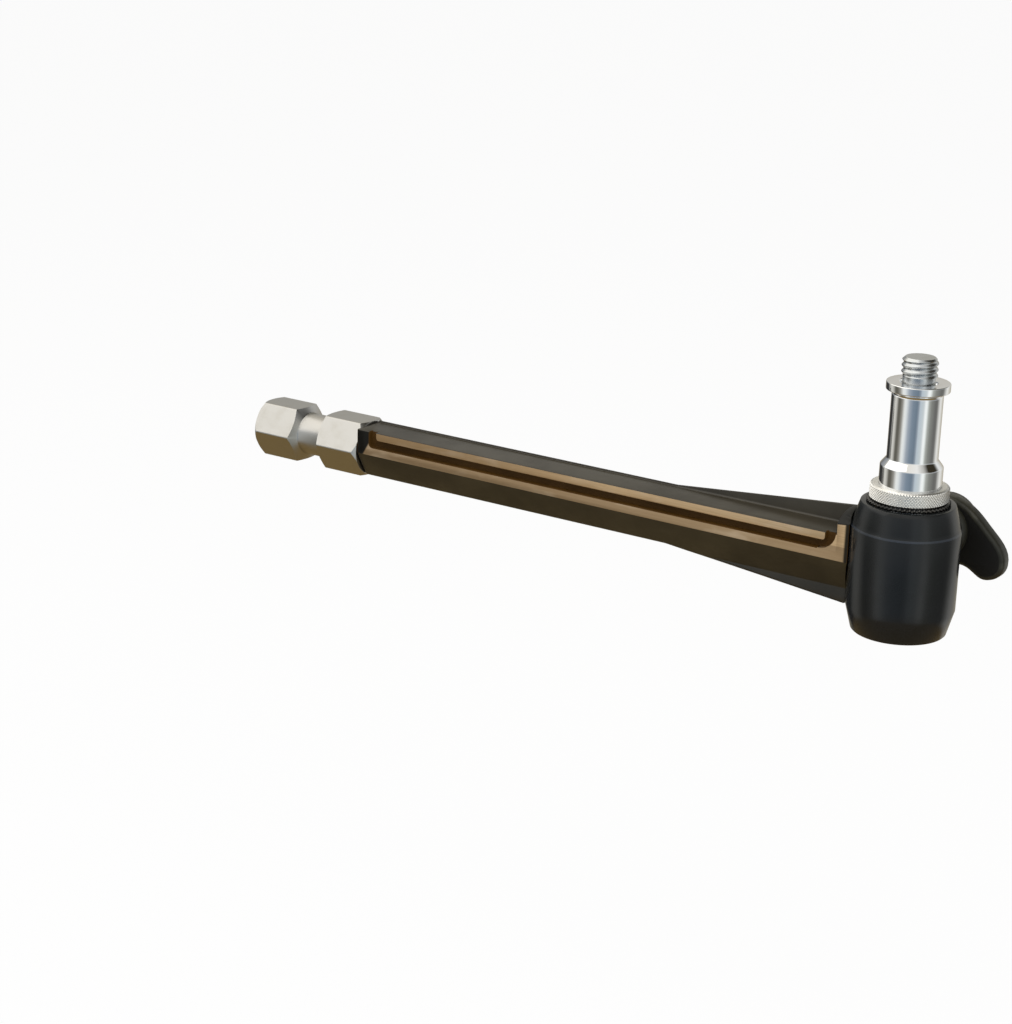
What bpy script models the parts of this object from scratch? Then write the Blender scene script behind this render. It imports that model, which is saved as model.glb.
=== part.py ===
"""Extension arm: a hexagonal stud, a cast arm and an upright barrel with a lockable plated spigot.

Units are metres. The origin is the centre of the stud's end face, +X runs along the arm to the barrel
and +Z runs up the spigot.
"""

import math

import bmesh
import bpy
from mathutils import Matrix, Vector

MM = 0.001

# Clearances that every seat and hole is derived from
SEAT = 0.3 * MM
REACH = 2.0 * MM  # how far a cutter passes the face that it opens
FAR = 60.0 * MM  # how far a cutting block runs past the whole bar
WELD = 0.001 * MM

# Facets round a full turn
STEPS_LARGE = 72
STEPS_MEDIUM = 48
STEPS_SMALL = 24
ARC_STEPS = 6

# Stations along the arm
STUD_LENGTH = 39.0 * MM
BARREL_X = 210.0 * MM
FLARE_X = 141.5 * MM
FAIRING_INSET = 8.0 * MM

# Hexagonal stud
STUD_FLATS = 16.0 * MM
STUD_CHAMFER = 1.2 * MM
STUD_GROOVE_R = 6.2 * MM
STUD_GROOVE_X = 15.0 * MM
STUD_GROOVE_WIDTH = 8.0 * MM
STUD_GROOVE_SLOPE = 1.6 * MM
TENON_R = 5.5 * MM
TENON_LENGTH = 26.0 * MM
TENON_CHAMFER = 0.8 * MM
STUD_PIN_R = 2.0 * MM
STUD_PIN_INSET = 12.0 * MM
STUD_PIN_LENGTH = 12.5 * MM

# Arm casting
ARM_R = 8.15 * MM
FLARE_SLOPE = 0.09
FRONT_Y = -8.0 * MM
RAIL_TOP_Z = 7.3 * MM
RAIL_HEIGHT = 2.5 * MM
GROOVE_WIDTH = 2.15 * MM
GROOVE_DEPTH = 1.6 * MM
RAIL_START = 6.8 * MM
RAIL_INSET = 18.5 * MM
GROOVE_LEFT_WIDTH = 2.3 * MM
GROOVE_RIGHT_WIDTH = 2.9 * MM
GROOVE_CORNER_R = 3.2 * MM
RAIL_CORNER_R = 1.0 * MM
RABBET_BACK_Y = 2.0 * MM
FACET_ANGLE = math.radians(30.0)
FACET_EDGE_Z = 0.14 * MM
SQUARE_OVERLAP = 0.5 * MM
SHOULDER_CHAMFER = 0.5 * MM

# Barrel
BUSH_WALL = 1.7 * MM
BUSH_RECESS = 2.3 * MM
BARREL_WALL = 3.75 * MM
MOUTH_RIM = 1.75 * MM
BARREL_TOP_Z = 17.1 * MM
BARREL_DOME_Z = 10.4 * MM
DOME_EDGE = 0.3 * MM
DOME_EDGE_HEIGHT = 0.5 * MM
DOME_BULGE = 0.12 * MM
BARREL_TAPER_Z = -10.5 * MM
BARREL_TAPER_ANGLE = math.radians(15.0)
BARREL_BOTTOM_Z = -17.4 * MM
BARREL_FOOT_R = 0.9 * MM
PAD_R = 7.2 * MM
PAD_RISE = 1.95 * MM
PAD_CHAMFER = 0.6 * MM

# Spigot
SPIGOT_R = 8.0 * MM
SPIGOT_BOTTOM_Z = -13.8 * MM
SHOULDER_Z = 26.9 * MM
SHOULDER_RISE = 1.9 * MM
NECK_R = 6.5 * MM
FLANGE_R = 8.05 * MM
FLANGE_Z = 46.4 * MM
FLANGE_TOP_Z = 48.5 * MM
FLANGE_CHAMFER = 0.3 * MM
SPIGOT_CHAMFER = 0.5 * MM
CLIP_Z = -11.5 * MM
CLIP_THICKNESS = 1.0 * MM
CLIP_GROOVE_DEPTH = 1.0 * MM
CLIP_WIDTH = 2.2 * MM
CLIP_MOUTH = 4.0 * MM
THREAD_R = 4.6 * MM
THREAD_TOP_Z = 54.9 * MM
THREAD_CHAMFER = 0.7 * MM
THREAD_DEPTH = 15.0 * MM

# Ring and washer at the barrel's mouth
RING_WALL = 1.68 * MM
RING_Z = 18.15 * MM
RING_HEIGHT = 3.75 * MM
RING_TOP_CHAMFER = 0.5 * MM
RING_LOW_CHAMFER = 0.2 * MM
WASHER_MARGIN = 0.4 * MM
WASHER_THICKNESS = 0.45 * MM
WASHER_GAP = 0.3 * MM
GRUB_R = 0.7 * MM
GRUB_LENGTH = 2.1 * MM
GRUB_BITE = 0.4 * MM

# Screws that hold the barrel to the arm
BARREL_SCREW_R = 2.0 * MM
BARREL_SCREW_HEAD_R = 3.5 * MM
BARREL_SCREW_HEAD = 1.5 * MM
BARREL_SCREW_RIM = 0.3 * MM
BARREL_SCREW_LENGTH = 15.0 * MM
BARREL_SCREW_SPACING = 9.0 * MM
BARREL_SCREW_MID_Z = -2.0 * MM
BARREL_SCREW_SINK = 0.5 * MM
BARREL_SCREW_TIP = 0.5 * MM

# Plug
PLUG_THICKNESS = 2.7 * MM
PLUG_RECESS = 0.2 * MM
PLUG_SLOT = 1.4 * MM
PLUG_SLOT_SHARE = 0.7
PLUG_CHAMFER = 0.4 * MM

# Lock: lug, screw, shoe and wing knob, all on one axis along Y
LOCK_Z = 5.0 * MM
LOCK_R = 3.0 * MM
LUG_R = 4.6 * MM
LUG_FLANGE_R = 6.2 * MM
LUG_FLANGE = 1.5 * MM
LUG_CHAMFER = 0.3 * MM
LUG_RECESS = 0.1 * MM
SHOE_LENGTH = 3.1 * MM
SCREW_TIP_CHAMFER = 0.5 * MM
THRUST_R = 6.6 * MM
THRUST_THICKNESS = 0.6 * MM
HUB_R = 8.2 * MM
HUB_LENGTH = 10.0 * MM
HUB_CHAMFER = 0.8 * MM
WING_SET = 3.8 * MM
WING_THICKNESS = 4.4 * MM
WING_ROUND = 1.2 * MM
WING_ROUND_STEPS = 3
WING_CURVE_STEPS = 8
WING_SPAN = 18.7 * MM
WING_DROP = 7.3 * MM
CAP_R = 5.6 * MM
CAP_DEPTH = 2.2 * MM
CAP_RISE = 0.9 * MM
SCREW_END_GAP = 0.6 * MM
CROSS_PIN_R = 1.0 * MM
CROSS_PIN_SET = 1.6 * MM
CROSS_PIN_LENGTH = 11.0 * MM
CROSS_PIN_INSET = 1.2 * MM

# Derived sizes
STUD_PIN_X = STUD_LENGTH + STUD_PIN_INSET
BUSH_BORE_R = SPIGOT_R + SEAT
BUSH_R = BUSH_BORE_R + BUSH_WALL
BORE_R = BUSH_R + SEAT
BARREL_R = BORE_R + BARREL_WALL
BARREL_TOP_R = BORE_R + MOUTH_RIM
PAD_Y = BARREL_R + PAD_RISE
BUSH_TOP_Z = BARREL_TOP_Z - BUSH_RECESS
BUSH_BOTTOM_Z = CLIP_Z + SEAT
RING_BORE_R = SPIGOT_R + SEAT
RING_R = RING_BORE_R + RING_WALL
WASHER_R = RING_R + WASHER_MARGIN
WASHER_Z = BARREL_TOP_Z + WASHER_GAP
CLIP_SEAT_R = SPIGOT_R - CLIP_GROOVE_DEPTH
THREAD_BOTTOM_Z = FLANGE_TOP_Z - THREAD_DEPTH
GROOVE_TOP_Z = RAIL_TOP_Z - RAIL_HEIGHT
GROOVE_LOW_Z = GROOVE_TOP_Z - GROOVE_WIDTH
FAIRING_END_X = BARREL_X - FAIRING_INSET
RAIL_LEFT_X = STUD_LENGTH + RAIL_START
RAIL_RIGHT_X = BARREL_X - RAIL_INSET
GROOVE_LEFT_X = RAIL_LEFT_X - GROOVE_LEFT_WIDTH
GROOVE_RIGHT_X = RAIL_RIGHT_X + GROOVE_RIGHT_WIDTH
LUG_INNER_Y = BORE_R + LUG_RECESS
LUG_SEAT_Y = PAD_Y + SEAT
LUG_OUTER_Y = LUG_SEAT_Y + LUG_FLANGE
SHOE_TIP_Y = SPIGOT_R + SEAT
SCREW_TIP_Y = SHOE_TIP_Y + SHOE_LENGTH + SEAT
THRUST_Y = LUG_OUTER_Y + SEAT
HUB_FRONT_Y = THRUST_Y + THRUST_THICKNESS + SEAT
HUB_BACK_Y = HUB_FRONT_Y + HUB_LENGTH
WING_MID_Y = HUB_FRONT_Y + WING_SET
CROSS_PIN_Y = HUB_FRONT_Y + CROSS_PIN_SET
CROSS_PIN_START = -HUB_R + CROSS_PIN_INSET
CROSS_PIN_END = CROSS_PIN_START + CROSS_PIN_LENGTH
CAP_FLOOR_Y = HUB_BACK_Y - CAP_DEPTH
SCREW_END_Y = CAP_FLOOR_Y - SCREW_END_GAP

AXIS_X = Matrix.Rotation(math.radians(90.0), 4, "Y")
AXIS_Y = Matrix.Rotation(math.radians(-90.0), 4, "X")
AXIS_Z = Matrix.Identity(4)
AXIS_BARREL = Matrix.Rotation(math.radians(1.3), 4, "Z")  # turns the facets clear of the lock's own
UPRIGHT = Matrix.Rotation(math.radians(90.0), 4, "X")

# name: colour, metallic, roughness
FINISHES = {
    "black_casting": ((0.030, 0.028, 0.026, 1.0), 0.0, 0.42),
    "black_barrel": ((0.020, 0.021, 0.023, 1.0), 0.1, 0.30),
    "bright_plate": ((0.78, 0.77, 0.75, 1.0), 1.0, 0.14),
    "dull_steel": ((0.42, 0.41, 0.39, 1.0), 1.0, 0.38),
    "dark_steel": ((0.09, 0.09, 0.09, 1.0), 0.9, 0.45),
    "brass": ((0.62, 0.44, 0.17, 1.0), 1.0, 0.30),
    "black_plastic": ((0.022, 0.021, 0.020, 1.0), 0.0, 0.48),
}


def clear_scene():
    """Removes everything that the start-up scene holds."""
    for item in list(bpy.data.objects):
        bpy.data.objects.remove(item, do_unlink=True)


def make_finish(name):
    """A Principled material of the named finish."""
    colour, metallic, roughness = FINISHES[name]
    material = bpy.data.materials.get(name) or bpy.data.materials.new(name)
    material.use_nodes = True
    shader = material.node_tree.nodes["Principled BSDF"]
    shader.inputs["Base Color"].default_value = colour
    shader.inputs["Metallic"].default_value = metallic
    shader.inputs["Roughness"].default_value = roughness
    material.diffuse_color = colour
    return material


def make_collections():
    """The collection of the pieces and the hidden one of the cutters."""
    pieces = bpy.data.collections.new("extension_arm")
    cutters = bpy.data.collections.new("cutters")
    for group in (pieces, cutters):
        bpy.context.scene.collection.children.link(group)
    cutters.hide_render = True
    return pieces, cutters


PIECES = None
CUTTERS = None


def place(obj, finish):
    """Puts an object with the pieces, or with the cutters where it has no finish."""
    if finish is None:
        CUTTERS.objects.link(obj)
        obj.hide_render = True
        obj.display_type = "WIRE"
    else:
        PIECES.objects.link(obj)
        obj.data.materials.append(make_finish(finish))
    return obj


def turned(name, profile, finish=None, axis=AXIS_Z, at=(0.0, 0.0, 0.0), steps=STEPS_MEDIUM, ring=False):
    """A turned piece: the profile of (radius, height) runs down its outer side, about the given axis."""
    mesh = bpy.data.meshes.new(name)
    points = [(radius, 0.0, height) for radius, height in profile]
    edges = [(i, i + 1) for i in range(len(points) - 1)]
    if ring:
        edges.append((len(points) - 1, 0))
    mesh.from_pydata(points, edges, [])
    obj = bpy.data.objects.new(name, mesh)
    obj.matrix_world = Matrix.Translation(Vector(at)) @ axis
    screw = obj.modifiers.new("turn", "SCREW")
    screw.steps = steps
    screw.render_steps = steps
    screw.use_merge_vertices = True
    screw.merge_threshold = WELD
    screw.use_smooth_shade = True
    screw.use_normal_calculate = False
    return place(obj, finish)


def rod(name, radius, low, high, finish=None, axis=AXIS_Z, at=(0.0, 0.0, 0.0), chamfer=0.0, steps=STEPS_SMALL):
    """A plain round bar between two heights on an axis, with both its ends chamfered."""
    if chamfer > 0.0:
        profile = [
            (0.0, high),
            (radius - chamfer, high),
            (radius, high - chamfer),
            (radius, low + chamfer),
            (radius - chamfer, low),
            (0.0, low),
        ]
    else:
        profile = [(0.0, high), (radius, high), (radius, low), (0.0, low)]
    return turned(name, profile, finish, axis, at, steps)


def tube(name, outer, inner, low, high, finish, axis=AXIS_Z, at=(0.0, 0.0, 0.0), chamfer=0.0, steps=STEPS_MEDIUM):
    """A plain sleeve between two heights on an axis, with its outer rims chamfered."""
    profile = [
        (inner, high),
        (outer - chamfer, high),
        (outer, high - chamfer),
        (outer, low + chamfer),
        (outer - chamfer, low),
        (inner, low),
    ]
    if chamfer <= 0.0:
        profile = [(inner, high), (outer, high), (outer, low), (inner, low)]
    return turned(name, profile, finish, axis, at, steps, ring=True)


def block(name, low, high, finish=None, turn=None):
    """A box between two corners, turned by a matrix where one is given."""
    mesh = bpy.data.meshes.new(name)
    shape = bmesh.new()
    bmesh.ops.create_cube(shape, size=1.0)
    size = Vector(high) - Vector(low)
    centre = (Vector(high) + Vector(low)) / 2.0
    bmesh.ops.scale(shape, vec=size, verts=shape.verts)
    bmesh.ops.translate(shape, vec=centre, verts=shape.verts)
    if turn is not None:
        bmesh.ops.transform(shape, matrix=turn, verts=shape.verts)
    shape.to_mesh(mesh)
    shape.free()
    return place(bpy.data.objects.new(name, mesh), finish)


def slab(name, spline_of, half, matrix, finish=None, offset=0.0, rounding=0.0, rounding_steps=0):
    """A flat outline given thickness both ways: spline_of fills the curve, which becomes a closed mesh."""
    curve = bpy.data.curves.new(name + "_outline", "CURVE")
    curve.dimensions = "2D"
    curve.fill_mode = "BOTH"
    curve.extrude = half
    curve.offset = offset
    curve.bevel_depth = rounding
    curve.bevel_resolution = rounding_steps
    spline_of(curve)
    holder = bpy.data.objects.new(name + "_outline", curve)
    bpy.context.scene.collection.objects.link(holder)
    graph = bpy.context.evaluated_depsgraph_get()
    mesh = bpy.data.meshes.new_from_object(holder.evaluated_get(graph))
    mesh.name = name
    mesh.materials.clear()
    bpy.data.objects.remove(holder, do_unlink=True)
    shape = bmesh.new()
    shape.from_mesh(mesh)
    bmesh.ops.remove_doubles(shape, verts=shape.verts, dist=WELD)
    bmesh.ops.recalc_face_normals(shape, faces=shape.faces)
    shape.to_mesh(mesh)
    shape.free()
    obj = bpy.data.objects.new(name, mesh)
    obj.matrix_world = matrix
    return place(obj, finish)


def boolean(obj, other, operation):
    """One exact Boolean step on an object."""
    step = obj.modifiers.new(operation.lower() + "_" + other.name, "BOOLEAN")
    step.operation = operation
    step.solver = "EXACT"
    step.object = other
    return obj


def cut(obj, *cutters):
    """Takes each cutter from the object."""
    for cutter in cutters:
        boolean(obj, cutter, "DIFFERENCE")
    return obj


def arc(start, end, bulge, steps=ARC_STEPS):
    """Points from start to end along an arc that stands bulge off its chord, to the chord's left."""
    a = Vector(start)
    b = Vector(end)
    chord = b - a
    side = Vector((-chord.y, chord.x)).normalized()
    radius = (chord.length_squared / 4.0 + bulge * bulge) / (2.0 * bulge)
    centre = (a + b) / 2.0 + side * (bulge - radius)
    first = math.atan2(a.y - centre.y, a.x - centre.x)
    last = math.atan2(b.y - centre.y, b.x - centre.x)
    sweep = (last - first + math.pi) % (2.0 * math.pi) - math.pi
    points = []
    for i in range(steps + 1):
        angle = first + sweep * i / steps
        points.append((centre.x + radius * math.cos(angle), centre.y + radius * math.sin(angle)))
    return points


def corner(centre, radius, first, steps=ARC_STEPS):
    """Points of a quarter circle about a centre, from the angle first, anticlockwise."""
    points = []
    for i in range(steps + 1):
        angle = math.radians(first + 90.0 * i / steps)
        points.append((centre[0] + radius * math.cos(angle), centre[1] + radius * math.sin(angle)))
    return points


def barrel_outline(grown=0.0):
    """The barrel's outer profile, from its mouth down to its foot, grown by a clearance."""
    edge = (BARREL_R + grown - DOME_EDGE, BARREL_DOME_Z + DOME_EDGE_HEIGHT)
    dome = arc((BARREL_TOP_R + grown, BARREL_TOP_Z), edge, DOME_BULGE)
    taper = (BARREL_TAPER_Z - BARREL_BOTTOM_Z - BARREL_FOOT_R) * math.tan(BARREL_TAPER_ANGLE)
    foot = BARREL_R + grown - taper
    fillet = arc(
        (foot, BARREL_BOTTOM_Z + BARREL_FOOT_R),
        (foot - BARREL_FOOT_R, BARREL_BOTTOM_Z),
        BARREL_FOOT_R * (1.0 - math.sqrt(0.5)),
        ARC_STEPS // 2,
    )
    return dome + [(BARREL_R + grown, BARREL_DOME_Z), (BARREL_R + grown, BARREL_TAPER_Z)] + fillet


def build_stud():
    """The hexagonal stud with its locking groove and tenon, and the pin that holds it."""
    corner_r = STUD_FLATS / 2.0 / math.cos(math.radians(30.0))
    hex_end = STUD_LENGTH - SEAT
    tip = STUD_LENGTH + TENON_LENGTH
    groove_end = STUD_GROOVE_X + STUD_GROOVE_WIDTH
    stud = turned(
        "hex_stud",
        [
            (0.0, tip),
            (TENON_R - TENON_CHAMFER, tip),
            (TENON_R, tip - TENON_CHAMFER),
            (TENON_R, hex_end),
            (corner_r - STUD_CHAMFER, hex_end),
            (corner_r, hex_end - STUD_CHAMFER),
            (corner_r, groove_end + STUD_GROOVE_SLOPE),
            (STUD_GROOVE_R, groove_end),
            (STUD_GROOVE_R, STUD_GROOVE_X),
            (corner_r, STUD_GROOVE_X - STUD_GROOVE_SLOPE),
            (corner_r, STUD_CHAMFER),
            (corner_r - STUD_CHAMFER, 0.0),
            (0.0, 0.0),
        ],
        "dull_steel",
        AXIS_X,
    )
    prism = bpy.data.meshes.new("stud_flats")
    shape = bmesh.new()
    bmesh.ops.create_cone(
        shape,
        cap_ends=True,
        segments=6,
        radius1=corner_r,
        radius2=corner_r,
        depth=tip + 2.0 * REACH,
        matrix=AXIS_X @ Matrix.Rotation(math.radians(30.0), 4, "Z"),
    )
    bmesh.ops.translate(shape, vec=(tip / 2.0, 0.0, 0.0), verts=shape.verts)
    flat_top = max(v.co.z for v in shape.verts)
    if flat_top > STUD_FLATS / 2.0 + WELD:
        bmesh.ops.rotate(shape, cent=(0, 0, 0), matrix=Matrix.Rotation(math.radians(30.0), 3, "X"), verts=shape.verts)
    shape.to_mesh(prism)
    shape.free()
    boolean(stud, place(bpy.data.objects.new("stud_flats", prism), None), "INTERSECT")
    pin_low = -ARM_R + SEAT
    pin_high = pin_low + STUD_PIN_LENGTH
    at = (STUD_PIN_X, 0.0, 0.0)
    rod("stud_roll_pin", STUD_PIN_R, pin_low, pin_high, "dark_steel", AXIS_Z, at, SEAT)
    hole = rod("stud_pin_hole", STUD_PIN_R + SEAT, -ARM_R - REACH, pin_high + SEAT, None, AXIS_Z, at)
    cut(stud, hole)
    return hole


def groove_outline(curve):
    """The U-shaped groove about the rail: down its left end, under it and up its right end."""
    top = RAIL_TOP_Z + REACH
    outer = [(GROOVE_LEFT_X, top)]
    outer += corner((GROOVE_LEFT_X + RAIL_CORNER_R, GROOVE_LOW_Z + RAIL_CORNER_R), RAIL_CORNER_R, 180.0)
    outer += corner((GROOVE_RIGHT_X - GROOVE_CORNER_R, GROOVE_LOW_Z + GROOVE_CORNER_R), GROOVE_CORNER_R, 270.0)
    outer += [(GROOVE_RIGHT_X, top), (RAIL_RIGHT_X, top)]
    right = corner((RAIL_RIGHT_X - RAIL_CORNER_R, GROOVE_TOP_Z + RAIL_CORNER_R), RAIL_CORNER_R, 270.0)
    left = corner((RAIL_LEFT_X + RAIL_CORNER_R, GROOVE_TOP_Z + RAIL_CORNER_R), RAIL_CORNER_R, 180.0)
    outer += right[::-1] + left[::-1] + [(RAIL_LEFT_X, top)]
    spline = curve.splines.new("POLY")
    spline.points.add(len(outer) - 1)
    for point, (x, z) in zip(spline.points, outer):
        point.co = (x, z, 0.0, 1.0)
    spline.use_cyclic_u = True


def build_arm(stud_hole, screw_holes):
    """The casting: a round arm with a squared and grooved front, which flares out towards the barrel."""
    end_r = ARM_R + FLARE_SLOPE * (BARREL_X - FLARE_X)
    arm = turned(
        "arm_casting",
        [
            (0.0, BARREL_X),
            (end_r, BARREL_X),
            (ARM_R, FLARE_X),
            (ARM_R, STUD_LENGTH + SHOULDER_CHAMFER),
            (ARM_R - SHOULDER_CHAMFER, STUD_LENGTH),
            (0.0, STUD_LENGTH),
        ],
        "black_casting",
        AXIS_X,
        steps=STEPS_LARGE,
    )
    squared = block(
        "arm_squared_corner",
        (STUD_LENGTH, FRONT_Y, -SQUARE_OVERLAP),
        (BARREL_X, 0.0, RAIL_TOP_Z),
    )
    boolean(arm, squared, "UNION")
    front = block("arm_front_plane", (0.0, FRONT_Y - FAR, -FAR), (BARREL_X + FAR, FRONT_Y, FAR))
    facet_y = FRONT_Y * math.cos(FACET_ANGLE) - FACET_EDGE_Z * -math.sin(FACET_ANGLE)
    facet = block(
        "arm_lower_facet",
        (0.0, facet_y - FAR, -FAR),
        (BARREL_X + FAR, facet_y, FAR),
        turn=Matrix.Rotation(FACET_ANGLE, 4, "X"),
    )
    rabbet = block(
        "arm_rabbet",
        (0.0, FRONT_Y - FAR, RAIL_TOP_Z),
        (GROOVE_RIGHT_X, RABBET_BACK_Y, FAR),
    )
    groove = slab(
        "arm_groove",
        groove_outline,
        GROOVE_DEPTH + REACH,
        Matrix.Translation((0.0, FRONT_Y - REACH, 0.0)) @ UPRIGHT,
    )
    end_plane = block("arm_end_plane", (FAIRING_END_X, -FAR, -FAR), (BARREL_X + FAR, FAR, FAR))
    saddle_profile = barrel_outline(SEAT)
    saddle = turned(
        "arm_saddle",
        [(0.0, BARREL_TOP_Z + FAR), (saddle_profile[0][0], BARREL_TOP_Z + FAR)]
        + saddle_profile[:-1]
        + [(saddle_profile[-2][0], -FAR), (0.0, -FAR)],
        None,
        AXIS_BARREL,
        (BARREL_X, 0.0, 0.0),
        STEPS_LARGE,
    )
    bore_end = STUD_LENGTH + TENON_LENGTH + SEAT
    bore = rod("arm_tenon_bore", TENON_R + SEAT, STUD_LENGTH - REACH, bore_end, None, AXIS_X, steps=STEPS_MEDIUM)
    cut(arm, front, facet, rabbet, groove, end_plane, saddle, bore, stud_hole, *screw_holes)
    return arm


def build_barrel_screws():
    """The two countersunk screws between barrel and arm. It returns the holes that both share."""
    holes = []
    head = BORE_R + BARREL_SCREW_SINK
    reach = head + BARREL_SCREW_LENGTH
    for name, side in (("barrel_screw_upper", 1.0), ("barrel_screw_lower", -1.0)):
        at = (BARREL_X, 0.0, BARREL_SCREW_MID_Z + side * BARREL_SCREW_SPACING / 2.0)
        turned(
            name,
            [
                (0.0, -head),
                (BARREL_SCREW_HEAD_R, -head),
                (BARREL_SCREW_HEAD_R, -head - BARREL_SCREW_RIM),
                (BARREL_SCREW_R, -head - BARREL_SCREW_HEAD),
                (BARREL_SCREW_R, -reach + BARREL_SCREW_TIP),
                (BARREL_SCREW_R - BARREL_SCREW_TIP, -reach),
                (0.0, -reach),
            ],
            "dark_steel",
            AXIS_X,
            at,
            STEPS_SMALL,
        )
        wide = BARREL_SCREW_HEAD_R + SEAT
        slim = BARREL_SCREW_R + SEAT
        inside = -head + REACH + SEAT
        holes.append(
            turned(
                name + "_hole",
                [
                    (0.0, inside),
                    (wide, inside),
                    (wide, -head - BARREL_SCREW_RIM - SEAT / 2.0),
                    (slim, -head - BARREL_SCREW_HEAD - SEAT / 2.0),
                    (slim, -reach - SEAT),
                    (0.0, -reach - SEAT),
                ],
                None,
                AXIS_X,
                at,
                STEPS_SMALL,
            )
        )
    return holes


def build_barrel(screw_holes):
    """The round barrel with its bore, its pad for the lock and its plug."""
    centre = (BARREL_X, 0.0, 0.0)
    lock = (BARREL_X, 0.0, LOCK_Z)
    outer = barrel_outline()
    barrel = turned("socket_barrel", [(0.0, BARREL_TOP_Z)] + outer + [(0.0, BARREL_BOTTOM_Z)], "black_barrel",
                    AXIS_BARREL, centre, STEPS_LARGE)
    pad = turned(
        "barrel_pad",
        [
            (0.0, PAD_Y),
            (PAD_R - PAD_CHAMFER, PAD_Y),
            (PAD_R, PAD_Y - PAD_CHAMFER),
            (PAD_R, SPIGOT_R),
            (0.0, SPIGOT_R),
        ],
        None,
        AXIS_Y,
        lock,
    )
    boolean(barrel, pad, "UNION")
    bore = rod("barrel_bore", BORE_R, BARREL_BOTTOM_Z - REACH, BARREL_TOP_Z + REACH, None, AXIS_BARREL, centre,
               steps=STEPS_LARGE)
    lug_hole = rod("barrel_lug_hole", LUG_R + SEAT, SPIGOT_R, PAD_Y + REACH, None, AXIS_Y, lock, steps=STEPS_MEDIUM)
    cut(barrel, *screw_holes, lug_hole, bore)

    bush = tube("socket_bush", BUSH_R, BUSH_BORE_R, BUSH_BOTTOM_Z, BUSH_TOP_Z, "brass", AXIS_Z, centre, SEAT,
                STEPS_LARGE)
    window = rod("bush_window", LOCK_R + SEAT, SPIGOT_R / 2.0, BORE_R + REACH, None, AXIS_Y, lock)
    cut(bush, window)

    plug_low = BARREL_BOTTOM_Z + PLUG_RECESS
    plug = rod("bottom_plug", BUSH_R, plug_low, plug_low + PLUG_THICKNESS, "dark_steel", AXIS_Z, centre,
               PLUG_CHAMFER, STEPS_MEDIUM)
    slot_half = PLUG_SLOT / 2.0
    slot = block(
        "plug_slot",
        (BARREL_X - BUSH_R * PLUG_SLOT_SHARE, -slot_half, BARREL_BOTTOM_Z - REACH),
        (BARREL_X + BUSH_R * PLUG_SLOT_SHARE, slot_half, plug_low + PLUG_SLOT),
    )
    cut(plug, slot)


def build_spigot():
    """The plated spigot with its threaded stud, its ring, its grub screw and its retaining clip."""
    centre = (BARREL_X, 0.0, 0.0)
    groove_top = CLIP_Z + SEAT
    groove_low = CLIP_Z - CLIP_THICKNESS - SEAT
    bore_r = THREAD_R + SEAT
    spigot = turned(
        "spigot_body",
        [
            (0.0, THREAD_BOTTOM_Z - SEAT),
            (bore_r, THREAD_BOTTOM_Z - SEAT),
            (bore_r, FLANGE_TOP_Z),
            (FLANGE_R - FLANGE_CHAMFER, FLANGE_TOP_Z),
            (FLANGE_R, FLANGE_TOP_Z - FLANGE_CHAMFER),
            (FLANGE_R, FLANGE_Z + FLANGE_CHAMFER),
            (FLANGE_R - FLANGE_CHAMFER, FLANGE_Z),
            (NECK_R, FLANGE_Z),
            (NECK_R, SHOULDER_Z + SHOULDER_RISE),
            (SPIGOT_R, SHOULDER_Z),
            (SPIGOT_R, groove_top),
            (CLIP_SEAT_R, groove_top),
            (CLIP_SEAT_R, groove_low),
            (SPIGOT_R, groove_low),
            (SPIGOT_R, SPIGOT_BOTTOM_Z + SPIGOT_CHAMFER),
            (SPIGOT_R - SPIGOT_CHAMFER, SPIGOT_BOTTOM_Z),
            (0.0, SPIGOT_BOTTOM_Z),
        ],
        "bright_plate",
        AXIS_Z,
        centre,
        STEPS_LARGE,
    )
    rod("thread_stud", THREAD_R, THREAD_BOTTOM_Z, THREAD_TOP_Z, "dull_steel", AXIS_Z, centre, THREAD_CHAMFER,
        STEPS_MEDIUM)
    ring_top = RING_Z + RING_HEIGHT
    dome = arc((RING_R - 2.0 * RING_TOP_CHAMFER, ring_top), (RING_R, ring_top - RING_TOP_CHAMFER),
               RING_TOP_CHAMFER / 4.0, ARC_STEPS // 2)
    ring = turned(
        "knurled_ring",
        [(RING_BORE_R, ring_top)]
        + dome
        + [(RING_R, RING_Z + RING_LOW_CHAMFER), (RING_R - RING_LOW_CHAMFER, RING_Z), (RING_BORE_R, RING_Z)],
        "bright_plate",
        AXIS_Z,
        centre,
        STEPS_LARGE,
        True,
    )
    grub_at = (BARREL_X, 0.0, RING_Z + RING_HEIGHT / 2.0)
    grub_tip = SPIGOT_R - GRUB_BITE
    rod("ring_set_screw", GRUB_R, grub_tip, grub_tip + GRUB_LENGTH, "dark_steel", AXIS_Y, grub_at, SEAT / 2.0)
    grub_hole = rod("grub_hole", GRUB_R + SEAT, grub_tip - SEAT, RING_R + REACH, None, AXIS_Y, grub_at)
    cut(spigot, grub_hole)
    cut(ring, grub_hole)
    tube("mouth_washer", WASHER_R, RING_BORE_R, WASHER_Z, WASHER_Z + WASHER_THICKNESS, "dark_steel", AXIS_Z,
         centre, 0.0, STEPS_LARGE)
    clip = tube("spigot_circlip", CLIP_SEAT_R + SEAT + CLIP_WIDTH, CLIP_SEAT_R + SEAT, CLIP_Z - CLIP_THICKNESS,
                CLIP_Z, "dark_steel", AXIS_Z, centre)
    mouth = block(
        "clip_mouth",
        (BARREL_X, -CLIP_MOUTH / 2.0, CLIP_Z - CLIP_THICKNESS - REACH),
        (BARREL_X + BARREL_R, CLIP_MOUTH / 2.0, CLIP_Z + REACH),
    )
    cut(clip, mouth)


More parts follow.
